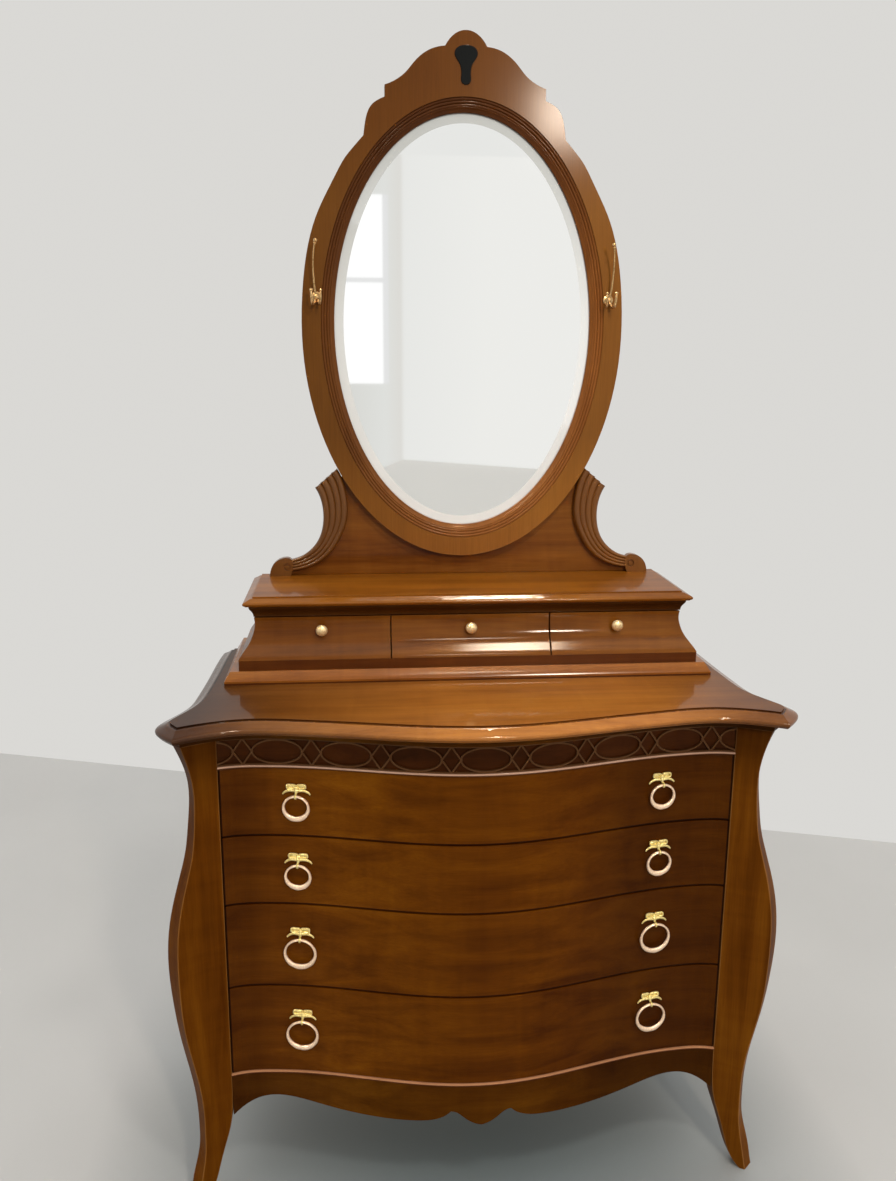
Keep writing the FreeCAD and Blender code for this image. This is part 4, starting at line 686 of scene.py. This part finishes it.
# start and end of the nodes' names, width of their rounded edges in millimetres
EDGE_ROUNDING = (
    ("drawer_", "_front", 1.2), ("front_post", "", 2.5), ("rear_post", "", 1.5), ("side_panel", "", 0.8),
    ("apron_rail", "", 1.0), ("frieze_fret", "", 0.6), ("front_beads", "", 0.9), ("mirror_frame", "", 1.0),
    ("mirror_support_board", "", 1.0), ("back_panel", "", 0.6), ("bottom_board", "", 0.8),
    ("drawer_", "_box", 0.6), ("gallery_tray", "", 0.5), ("mirror_backing", "", 0.6),
    ("gallery_back", "", 0.5), ("gallery_partitions", "", 0.5), ("crest_drop", "", 1.7))


def make_board(node, width):
    """The node's own shape with its sharp edges rounded; the rounded long edges of a front post carry a
    painted highlight.
    """
    bm = bmesh.new()
    bm.from_mesh(frame["nodes"][node].data)
    bmesh.ops.remove_doubles(bm, verts=bm.verts, dist=CAD_WELD)
    bmesh.ops.dissolve_limit(bm, angle_limit=FLAT_ANGLE, verts=bm.verts, edges=bm.edges)
    board = finished(node + "_rounded", bm, smooth=False)
    rounding = add_rounding(board, width * MM, ROUNDING_ANGLE)
    stands_for(board, node)
    if node.startswith("front_post"):
        # the rounded edges of a front post get the paler stain of a painted highlight
        board.data.materials.append(WOODS["arris_highlight"])
        rounding.material = 1


def make_boards():
    """Rounded boards, which stand for their sharp CAD nodes."""
    for start, end, width in EDGE_ROUNDING:
        for node in frame["nodes"]:
            if node.startswith(start) and node.endswith(end):
                make_board(node, width)


# hollow of the gallery case: share of its height, share of its depth
HOLLOW_PROFILE = ((0.0, 0.0), (0.08, 0.11), (0.2, 0.34), (0.35, 0.62), (0.5, 0.82), (0.7, 0.97), (0.85, 1.0),
                  (1.0, 0.95))
HOLLOW_LINE = smooth_line([Vector(pair) for pair in HOLLOW_PROFILE], 8)
HOLLOW_DEPTH = 27 * MM
CASE_HEIGHT = 70 * MM
FRONT_CUTS = 27
FRONT_ROUNDING = 0.6 * MM
FRONT_ROUNDING_ANGLE = math.radians(50)


def hollow_inset(height):
    """How far the hollow lies behind the foot of the gallery case."""
    share = (height - base_top) / CASE_HEIGHT
    for low, high in zip(HOLLOW_LINE, HOLLOW_LINE[1:]):
        if share <= high.x:
            between = max(share - low.x, 0) / (high.x - low.x)
            return (low.y + (high.y - low.y) * between) * HOLLOW_DEPTH
    return HOLLOW_LINE[-1].y * HOLLOW_DEPTH


def make_hollow_front(node, outer_side):
    """Gallery drawer front: hollow on its face, and on its outer end if it has one (-1 left, 1 right)."""
    low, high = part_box(node)
    middle = (low + high) / 2
    bm = bmesh.new()
    bmesh.ops.create_cube(bm, size=1.0)
    bmesh.ops.scale(bm, verts=bm.verts, vec=high - low)
    bmesh.ops.translate(bm, verts=bm.verts, vec=middle)
    upright = [edge for edge in bm.edges if abs(edge.verts[0].co.z - edge.verts[1].co.z) > MM]
    bmesh.ops.subdivide_edges(bm, edges=upright, cuts=FRONT_CUTS)
    for vert in bm.verts:
        inset = hollow_inset(vert.co.z)
        if (vert.co.x - middle.x) * outer_side > 0:
            vert.co.x -= outer_side * inset
        if vert.co.y < middle.y:
            vert.co.y += inset
    bmesh.ops.recalc_face_normals(bm, faces=bm.faces)
    front = finished(node + "_hollow", bm)
    add_rounding(front, FRONT_ROUNDING, FRONT_ROUNDING_ANGLE).harden_normals = True
    stands_for(front, node)


# ---------------------------------------------------------------- ring pulls

# width of a ring's wall at its top, sides and foot, and its depth
RING_TOP = 4 * MM
RING_SIDE = 4.5 * MM
RING_BOTTOM = 8.8 * MM
RING_DEPTH = 5 * MM
RING_SECTIONS = 44
# hammer marks round a ring: how many, how deep, and their turn for each unit of the seed
HAMMER_MARKS = ((7, 0.045, 1.0), (12, 0.035, 2.3))
# seed of a ring: this for each drawer, and 1 more for the right ring
SEED_STEP = 1.7


def pull_frame(ring_node):
    """Pivot of a ring, with the directions along its axis and ahead of the drawer."""
    joint = JOINT_OF[BODY_OF[ring_node]]
    along = -Vector(joint["axis"])
    return Vector(joint["pos_m"]), along, along.cross(UP)


def hammered(angle, seed):
    """Share by which a ring is thicker or thinner at an angle."""
    return 1 + sum(depth * math.sin(count * angle + turn * seed) for count, depth, turn in HAMMER_MARKS)


def make_ring(node, seed):
    """A hammered ring, thin at its top and heavy at its foot."""
    pivot, along, ahead = pull_frame(node)
    low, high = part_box(node)
    outer = (high.z - low.z) / 2
    middle = pivot + UP * (RING_TOP / 2 - outer)
    hole_middle = middle + UP * (RING_BOTTOM - RING_TOP) / 2
    hole_wide = outer - RING_SIDE
    hole_tall = outer - (RING_TOP + RING_BOTTOM) / 2
    stations = []
    for angle in turn_angles(RING_SECTIONS):
        outside = middle + (along * math.sin(angle) + UP * math.cos(angle)) * outer
        within = hole_middle + along * math.sin(angle) * hole_wide + UP * math.cos(angle) * hole_tall
        wall = outside - within
        half_width = wall.length / 2 * hammered(angle, seed)
        half_depth = RING_DEPTH / 2 * hammered(angle + 1, seed)
        stations.append(((outside + within) / 2, wall.normalized(), ahead, half_width, half_depth))
    bm = bmesh.new()
    sweep_into(bm, stations, sides=10, closed=True)
    stands_for(cleaned(node + "_hammered", bm), node)


# ---------------------------------------------------------------- ribbon bows, in millimetres

# knot of the bow from the ring's pivot: behind it and above it
KNOT_BEHIND = 9
KNOT_ABOVE = 10
# knot: distance ahead and radius, from its foot; neck: across, up, ahead, and radii
KNOT_FOOT = (0, 1.4, -0.4)
KNOT_PROFILE = ((0, 2.6), (2.6, 3.2), (4.6, 3.4), (5.8, 2.6), (6.2, 0.8))
NECK_LINE = ((0, 0.5, 3.0), (0, -3.0, 3.4), (0, -5.6, 4.6), (0, -7.2, 6.6))
NECK_RADII = (3.4, 3.0, 2.2, 1.7)
# right tail: across, up, ahead, and half widths
TAIL_LINE = ((0.5, -3.6, 3.2), (5.0, -2.6, 3.4), (10.5, -2.4, 3.0), (15.5, -3.8, 2.6), (19.4, -6.2, 2.6),
             (21.8, -9.0, 3.0))
TAIL_WIDTHS = (2.3, 2.2, 2.3, 2.1, 1.7, 1.1)
TAIL_FLATNESS = 0.62
# right loop: middle, half sizes and tilt; its ribbon, which lies higher at the outer end
LOOP_MIDDLE = (8.1, 3.9)
LOOP_HALF = (6.7, 3.3)
LOOP_TILT = math.radians(4)
LOOP_SECTIONS = 26
LOOP_RIBBON = 1.5
LOOP_THICKNESS = 2.0
LOOP_LIFT = 2.6
LOOP_SWELL = 0.8
# bed of cloth within the loop: share of the half width, share of the half height
LOOP_BED = ((-0.95, 0.5), (-0.5, 0.86), (0, 0.95), (0.5, 0.9), (0.95, 0.6))
BED_LIFT = 1.4
BED_FLATNESS = 0.5
EYE_RADIUS = 3.6
EYE_HALF = 1.7
EYE_WIRE = 0.9
EYE_SECTIONS = 20


def squared(value):
    """Takes the points of a circle out towards its corners."""
    return math.copysign(math.sqrt(abs(value)), value)


def loop_into(bm, at, side, along, ahead):
    """One loop of a bow: a ribbon round a rounded oblong, and its bed."""
    stations = []
    for angle in turn_angles(LOOP_SECTIONS):
        flat_x = squared(math.cos(angle)) * LOOP_HALF[0]
        flat_z = squared(math.sin(angle)) * LOOP_HALF[1]
        x = LOOP_MIDDLE[0] + flat_x * math.cos(LOOP_TILT) - flat_z * math.sin(LOOP_TILT)
        z = LOOP_MIDDLE[1] + flat_x * math.sin(LOOP_TILT) + flat_z * math.cos(LOOP_TILT)
        outward = (along * side * math.cos(angle) + UP * math.sin(angle)).normalized()
        lift = LOOP_LIFT + LOOP_SWELL * math.cos(angle)
        stations.append((at(side * x, z, lift), outward, ahead, LOOP_RIBBON * MM, LOOP_THICKNESS * MM))
    sweep_into(bm, stations, sides=8, closed=True)
    bed = []
    for share, _ in LOOP_BED:
        x = LOOP_MIDDLE[0] + share * LOOP_HALF[0]
        z = LOOP_MIDDLE[1] + share * LOOP_HALF[0] * math.sin(LOOP_TILT)
        bed.append(at(side * x, z, BED_LIFT))
    heights = [height * LOOP_HALF[1] * MM for _, height in LOOP_BED]
    bent_bar(bm, bed, heights, sides=10, flat=BED_FLATNESS, side_way=ahead)


def eye_into(bm, pivot, along, ahead):
    """The eye that the ring hangs in."""
    stations = []
    for angle in turn_angles(EYE_SECTIONS):
        outward = UP * math.cos(angle) + ahead * math.sin(angle)
        stations.append((pivot + outward * EYE_RADIUS * MM, outward, along, EYE_WIRE * MM, EYE_HALF * MM))
    sweep_into(bm, stations, sides=8, closed=True)


def bow_into(bm, ring_node):
    """One ribbon bow: two loops, two tails, a knot, its neck and the eye that holds the ring."""
    pivot, along, ahead = pull_frame(ring_node)
    knot = pivot + (UP * KNOT_ABOVE - ahead * KNOT_BEHIND) * MM

    def at(across, up, out):
        return knot + (along * across + UP * up + ahead * out) * MM

    for side in (-1, 1):
        loop_into(bm, at, side, along, ahead)
        tail = smooth_line([at(side * across, up, out) for across, up, out in TAIL_LINE], 3)
        bent_bar(bm, tail, [width * MM for width in smooth_values(TAIL_WIDTHS, 3)], sides=8,
                 flat=TAIL_FLATNESS, side_way=ahead)
    turned_into(bm, at(*KNOT_FOOT), ahead, KNOT_PROFILE, sides=12)
    neck = [at(*point) for point in NECK_LINE]
    bent_bar(bm, neck, [radius * MM for radius in NECK_RADII], sides=10, side_way=ahead)
    eye_into(bm, pivot, along, ahead)


def make_bows(number):
    """The two bows of one drawer."""
    bm = bmesh.new()
    for side in ("left", "right"):
        bow_into(bm, f"drawer_{number}_ring_{side}")
    node = f"drawer_{number}_bows"
    stands_for(cleaned(node + "_ribbons", bm), node)


# ---------------------------------------------------------------- knobs and hooks, in millimetres

# shank and head of a knob: distance ahead of the drawer face, radius
KNOB_PROFILE = ((-14, 3.5), (7.0, 3.5), (8.6, 5.6), (9.8, 8.4), (11.6, 9.9), (13.4, 9.7), (15.4, 8.2),
                (17.0, 5.6), (17.8, 2.8), (18.0, 0.6))

# middle of a hook's plate, from the outer edge and from the lowest point of the hooks
HOOK_EDGE = 11.6
HOOK_FOOT = 15.4
HOOK_PLATE = ((0, 9), (1.6, 9), (2.6, 8.2), (3.4, 6.0), (5.0, 5.0), (7.6, 4.6), (8.6, 2.4))
# right hook, from the middle of its plate: across, ahead, up
HOOK_STEM = ((0, 3, 0), (2.0, 8, 8), (3.4, 12, 22), (4.2, 15, 40), (4.0, 20, 58), (2.0, 27.5, 76),
             (-1, 34, 89))
STEM_RADII = (2.8, 2.0, 1.5, 1.25, 1.15, 1.2, 1.5)
STEM_BALL = 3.4
COLLAR_PROFILE = ((0, 1.4), (0.5, 2.6), (1.5, 2.6), (2.0, 1.4))
COLLAR_BACK = 3
PRONG_LINE = ((2, 4, -3), (4, 9, -9.5), (5.4, 15, -13), (6.6, 22, -10.5), (7.6, 26.6, -2), (8, 27.2, 10))
PRONG_TAPER = (1, 1, 1, 0.95, 0.85, 0.75)
# the two prongs of a hook: side they lean to, radius, radius of the ball
HOOK_PRONGS = ((1, 2.6, 3.2), (-1, 1.8, 2.4))


def make_knob(node):
    """Domed knob with the small facets of a hammered bead."""
    low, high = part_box(node)
    face = Vector(((low.x + high.x) / 2, high.y + KNOB_PROFILE[0][0] * MM, (low.z + high.z) / 2))
    bm = bmesh.new()
    turned_into(bm, face, -BACKWARD, KNOB_PROFILE, sides=14)
    stands_for(cleaned(node + "_hammered", bm, smooth=False), node)


def hook_into(bm, plate, side):
    """One hook: a round plate, a tall stem with a collar and a ball, and two short prongs."""

    def at(across, out, up):
        return plate + Vector((side * across, -out, up)) * MM

    turned_into(bm, plate, -BACKWARD, HOOK_PLATE, sides=20)
    stem = smooth_line([at(*point) for point in HOOK_STEM], 4)
    bent_bar(bm, stem, [radius * MM for radius in smooth_values(STEM_RADII, 4)], sides=12)
    ball_into(bm, stem[-1], STEM_BALL * MM, 3)
    upward = (stem[-1] - stem[-4]).normalized()
    turned_into(bm, stem[-2] - upward * COLLAR_BACK * MM, upward, COLLAR_PROFILE, sides=14)
    for lean, radius, ball in HOOK_PRONGS:
        prong = smooth_line([at(lean * across, out, up) for across, out, up in PRONG_LINE], 3)
        bent_bar(bm, prong, [radius * share * MM for share in smooth_values(PRONG_TAPER, 3)], sides=10)
        ball_into(bm, prong[-1], ball * MM, 2)


def make_hooks():
    """The hooks at the two sides of the mirror frame."""
    node = "mirror_hooks"
    low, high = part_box(node)
    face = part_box("mirror_frame")[0].y
    bm = bmesh.new()
    for side in (-1, 1):
        across = side * ((high.x - low.x) / 2 - HOOK_EDGE * MM)
        hook_into(bm, Vector((across, face, low.z + HOOK_FOOT * MM)), side)
    stands_for(cleaned(node + "_cast", bm), node)


# ---------------------------------------------------------------- moulding and glass, in millimetres

OVAL_SEGMENTS = 144
# sections are (distance out from the sight edge, depth behind the face of the frame)
BAND_DEPTH = 12.0
BAND_FACE = 1.4
REED_WIDTH = 4.6
REED_GAP = 0.2
REED_MARGIN = 0.3
REED_FOOT = 2.1
REED_RISE = 1.9
REED_STEPS = 6
REED_DEPTHS = (1.2, 2.3, 3.4)
COVE = ((8.6, 4.6), (7.6, 4.4), (6.6, 5.2), (5.0, 6.8), (3.2, 8.0), (1.4, 8.8), (0.2, 9.2), (0.0, 12.0))
# the glass, from its back to its face: margin past the sight edge, depth behind its face
GLASS_MARGIN = 8
GLASS_SECTION = ((GLASS_MARGIN, 5.0), (GLASS_MARGIN, 2.0), (-GLASS_BEVEL, 0.0))


def sight_profile():
    """Three reeds that step back, and a cove down to the glass."""
    profile = [(REED_BAND, BAND_DEPTH), (REED_BAND, BAND_FACE)]
    for index, depth in enumerate(REED_DEPTHS):
        outer = REED_BAND - REED_MARGIN - index * (REED_WIDTH + REED_GAP)
        for step in range(REED_STEPS + 1):
            angle = math.pi * step / REED_STEPS
            profile.append((outer - REED_WIDTH * (1 - math.cos(angle)) / 2,
                            depth + REED_FOOT - REED_RISE * math.sin(angle)))
    return profile + list(COVE)


def ovals_into(bm, half_x, half_z, middle_z, face, section):
    """Oval rings that face ahead, grown and set back as the section says, joined in turn."""
    loops = []
    for margin, depth in section:
        ring = bmesh.ops.create_circle(bm, segments=OVAL_SEGMENTS, radius=1.0)["verts"]
        bmesh.ops.rotate(bm, verts=ring, matrix=Matrix.Rotation(math.radians(90), 3, "X"))
        bmesh.ops.scale(bm, verts=ring, vec=(half_x + margin * MM, 1, half_z + margin * MM))
        bmesh.ops.translate(bm, verts=ring, vec=(0, face + depth * MM, middle_z))
        loops.append(list({edge for vert in ring for edge in vert.link_edges}))
    for first, second in zip(loops, loops[1:]):
        bmesh.ops.bridge_loops(bm, edges=first + second)
    return loops


def half_sizes(node, margin):
    """Half width, half height and middle height of an oval without its margin."""
    low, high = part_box(node)
    return (high.x - low.x) / 2 - margin * MM, (high.z - low.z) / 2 - margin * MM, (low.z + high.z) / 2


def make_glass():
    """Oval plate with a bevel round its face."""
    node = "mirror_glass"
    bm = bmesh.new()
    loops = ovals_into(bm, *half_sizes(node, GLASS_MARGIN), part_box(node)[0].y, GLASS_SECTION)
    bmesh.ops.contextual_create(bm, geom=loops[0])
    bmesh.ops.contextual_create(bm, geom=loops[-1])
    stands_for(cleaned(node + "_bevelled", bm, smooth=False), node)


def make_sight_moulding():
    """Reeded moulding between the frame and the glass."""
    node = "sight_moulding"
    bm = bmesh.new()
    loops = ovals_into(bm, *half_sizes(node, REED_BAND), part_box("mirror_frame")[0].y, sight_profile())
    bmesh.ops.bridge_loops(bm, edges=loops[-1] + loops[0])
    stands_for(cleaned(node + "_reeded", bm), node)


# ---------------------------------------------------------------- camera and lamps

CAMERA_PLACE = Vector((-0.190, -1.6185, 1.380))
CAMERA_YAW = 0.0904
CAMERA_PITCH = 0.2228
CAMERA_ROLL = -0.0057
FOCAL_OVER_WIDTH = 1014.6 / 896

# name, place, target, width and height of the face, power, colour, whether glossy pieces show the lamp
LAMPS = (
    ("ceiling_lamp", (0.43, -1.5, 2.75), (0.1, 0.05, 0.9), (0.24, 0.26), 14, (1.0, 0.95, 0.88), False),
    ("high_window", (0.98, -3.9, 2.715), (0.15, 0.2, 1.8), (0.27, 0.27), 54, (1.0, 0.84, 0.68), True))


def make_camera():
    """The camera, turned to the right, down and a little about its view."""
    data = bpy.data.cameras.new("camera")
    data.sensor_fit = "HORIZONTAL"
    data.lens = FOCAL_OVER_WIDTH * data.sensor_width
    forward = Vector((math.sin(CAMERA_YAW) * math.cos(CAMERA_PITCH),
                      math.cos(CAMERA_YAW) * math.cos(CAMERA_PITCH), -math.sin(CAMERA_PITCH)))
    right = Vector((math.cos(CAMERA_YAW), -math.sin(CAMERA_YAW), 0))
    down = forward.cross(right)
    rolled_right = right * math.cos(CAMERA_ROLL) + down * math.sin(CAMERA_ROLL)
    rolled_down = down * math.cos(CAMERA_ROLL) - right * math.sin(CAMERA_ROLL)
    camera = bpy.data.objects.new("camera", data)
    turn = Matrix((rolled_right, -rolled_down, -forward)).transposed()
    camera.matrix_world = Matrix.Translation(CAMERA_PLACE) @ turn.to_4x4()
    bpy.context.scene.collection.objects.link(camera)
    bpy.context.scene.camera = camera


def make_lamp(name, place, target, size, power, colour, mirrored):
    """A lamp with a flat face that looks at its target."""
    data = bpy.data.lights.new(name, "AREA")
    data.shape = "RECTANGLE"
    data.size, data.size_y = size
    data.energy = power
    data.color = colour
    lamp = bpy.data.objects.new(name, data)
    lamp.location = place
    lamp.rotation_euler = (Vector(target) - Vector(place)).to_track_quat("-Z", "Y").to_euler()
    lamp.visible_camera = False
    lamp.visible_glossy = mirrored
    bpy.context.scene.collection.objects.link(lamp)


# ---------------------------------------------------------------- the room

WALL_BEHIND = (0.70, 0.69, 0.665)
# least share of a view that leads ahead, which keeps its slopes finite
NEAREST_AHEAD = 0.001
# the room opposite the mirror, as slopes of the view: sideways and upwards per metre ahead
ROOM_SPAN = (-0.08, 0.25)
CEILING_EDGE = 0.185
WINDOW_SIDES = (-0.02, 0.0325)
WINDOW_ENDS = (-0.022, 0.150)
WINDOW_BAR_HEIGHTS = (0.0716, 0.0758)
WINDOW_FRAME_SIDES = (0.0272, 0.0325)
# its walls from left to right, at shares of the span
ROOM_WALLS = (
    (0.0, (0.60, 0.585, 0.545)), (0.33, (0.77, 0.775, 0.75)), (0.375, (0.75, 0.735, 0.70)),
    (0.385, (0.84, 0.84, 0.82)), (0.62, (0.88, 0.875, 0.85)))
ROOM_CEILING = (0.83, 0.83, 0.81)
WINDOW_BAR = (0.80, 0.80, 0.80)
WINDOW_PANE = (1.06, 1.06, 1.06)
# lights high above the mirror's view, shown by curved pieces: middle and half size of each, as the same
# slopes, and its brightness
SKYLIGHTS = (
    ((0.0, 1.6), (9.0, 0.5), 3.5), ((0.285, 1.75), (0.105, 0.30), 250.0),
    ((0.15, 0.98), (0.08, 0.06), 60.0), ((-1.15, 1.6), (0.40, 0.25), 80.0))
SKYLIGHT_COLOUR = (1.0, 0.84, 0.64)
SKY_COLOUR = (1, 0.985, 0.96)
# strength of the sky at the horizon, and what is added towards straight above
SKY_LOW = 0.19
SKY_RISE = 1.68

# right and left behind the piece, then the corners of the room opposite it
FLOOR_CORNERS = ((9, -1.45), (-9, 4.35), (-9, -2.0), (-1.6, -5.27), (0.469, -12.47), (9, -5.67))
FLOOR_NEAR = ((0.3, (0.455, 0.455, 0.445)), (0.7, (0.495, 0.495, 0.485)))
FLOOR_FAR = (0.575, 0.575, 0.56)
FLOOR_ROUGHNESS = 0.5
# mottle of the plaster: scale per metre, detail
FLOOR_MOTTLE = (1.4, 3)
# how far ahead of the piece the far floor starts, and over what length it takes over, in metres
FAR_START = 4.0
FAR_LENGTH = 2.0
# painted shadow under the piece, which no lamp casts: its colour and how far it reaches to the sides and
# ahead, in metres
FLOOR_PAINTED_SHADOW = (0.14, 0.175, 0.185)
FLOOR_SHADOW_SPREAD = (0.68, 0.60)


def room_colour(tree, across, back, up):
    """Pale walls all round; a side wall with a window stands opposite the mirror's left half."""
    ahead = math_node(tree, "MAXIMUM", math_node(tree, "MULTIPLY", back, -1.0), NEAREST_AHEAD)
    sideways = math_node(tree, "DIVIDE", across, ahead)
    upwards = math_node(tree, "DIVIDE", up, ahead)
    span = ROOM_SPAN[1] - ROOM_SPAN[0]
    share = math_node(tree, "MULTIPLY_ADD", sideways, 1 / span, -ROOM_SPAN[0] / span)
    colour = colour_ramp(tree, share, ROOM_WALLS)
    colour = mixed(tree, math_node(tree, "GREATER_THAN", upwards, CEILING_EDGE), colour, ROOM_CEILING)
    pane = math_node(tree, "MULTIPLY", inside(tree, sideways, *WINDOW_SIDES),
                     inside(tree, upwards, *WINDOW_ENDS))
    bars = math_node(tree, "MAXIMUM", inside(tree, upwards, *WINDOW_BAR_HEIGHTS),
                     inside(tree, sideways, *WINDOW_FRAME_SIDES))
    colour = mixed(tree, pane, colour, mixed(tree, bars, WINDOW_PANE, WINDOW_BAR))
    for middle, half, brightness in SKYLIGHTS:
        glow = math_node(tree, "MULTIPLY", swell(tree, sideways, middle[0], half[0]),
                         swell(tree, upwards, middle[1], half[1]))
        colour = mixed(tree, glow, colour, tuple(channel * brightness for channel in SKYLIGHT_COLOUR))
    return mixed(tree, math_node(tree, "LESS_THAN", back, 0.0), WALL_BEHIND, colour)


def make_world():
    """Soft light that falls mostly from above; the camera sees a pale wall, the mirror a room."""
    world = bpy.data.worlds.new("studio")
    bpy.context.scene.world = world
    world.use_nodes = True
    tree = world.node_tree
    tree.nodes.clear()
    across, back, up = split_vector(tree, tree.nodes.new("ShaderNodeTexCoord").outputs["Generated"])
    steep = math_node(tree, "POWER", math_node(tree, "MAXIMUM", up, 0.0), 2.0)
    light = tree.nodes.new("ShaderNodeBackground")
    set_or_link(tree, light.inputs["Color"], SKY_COLOUR)
    tree.links.new(math_node(tree, "MULTIPLY_ADD", steep, SKY_RISE, SKY_LOW), light.inputs["Strength"])
    path = tree.nodes.new("ShaderNodeLightPath")
    camera = path.outputs["Is Camera Ray"]
    seen = tree.nodes.new("ShaderNodeBackground")
    room = room_colour(tree, across, back, up)
    tree.links.new(mixed(tree, camera, room, WALL_BEHIND), seen.inputs["Color"])
    shown = tree.nodes.new("ShaderNodeMixShader")
    tree.links.new(math_node(tree, "MAXIMUM", camera, path.outputs["Is Glossy Ray"]), shown.inputs["Fac"])
    tree.links.new(light.outputs[0], shown.inputs[1])
    tree.links.new(seen.outputs[0], shown.inputs[2])
    out = tree.nodes.new("ShaderNodeOutputWorld")
    tree.links.new(shown.outputs[0], out.inputs[0])


def make_floor():
    """Plaster floor: paler far ahead, with a painted shadow under the piece."""
    bm = bmesh.new()
    bmesh.ops.contextual_create(bm, geom=[bm.verts.new((x, y, 0)) for x, y in FLOOR_CORNERS])
    floor = finished("floor", bm, smooth=False)
    material, shader = new_material("floor_plaster")
    tree = material.node_tree
    vector = object_vector(tree)
    x, y, _ = split_vector(tree, vector)
    near = colour_ramp(tree, noise_node(tree, vector, *FLOOR_MOTTLE), FLOOR_NEAR)
    # painted shadow under the piece
    under = math_node(tree, "MULTIPLY", swell(tree, x, 0.0, FLOOR_SHADOW_SPREAD[0]),
                      swell(tree, y, 0.0, FLOOR_SHADOW_SPREAD[1]))
    near = mixed(tree, under, near, FLOOR_PAINTED_SHADOW)
    away = math_node(tree, "MULTIPLY_ADD", y, -1 / FAR_LENGTH, -FAR_START / FAR_LENGTH)
    away.node.use_clamp = True
    tree.links.new(mixed(tree, away, near, FLOOR_FAR), shader.inputs["Base Color"])
    shader.inputs["Roughness"].default_value = FLOOR_ROUGHNESS
    floor.data.materials.append(material)


# ---------------------------------------------------------------- the whole


def paint_rest():
    """Finish the CAD nodes, which show where no piece stands for them."""
    for node, thing in frame["nodes"].items():
        thing.data.materials.clear()
        thing.data.materials.append(finish_of(node))


paint_rest()
make_boards()
for number in range(1, 5):
    make_bows(number)
    for index, side in enumerate(("left", "right")):
        make_ring(f"drawer_{number}_ring_{side}", number * SEED_STEP + index)
for outer_side, place in enumerate(("left", "centre", "right"), -1):
    make_hollow_front(f"gallery_drawer_front_{place}", outer_side)
    make_knob(f"gallery_knob_{place}")
make_hooks()
make_glass()
make_sight_moulding()
make_camera()
make_world()
make_floor()
for lamp in LAMPS:
    make_lamp(*lamp)
bpy.context.scene.view_settings.view_transform = "Standard"
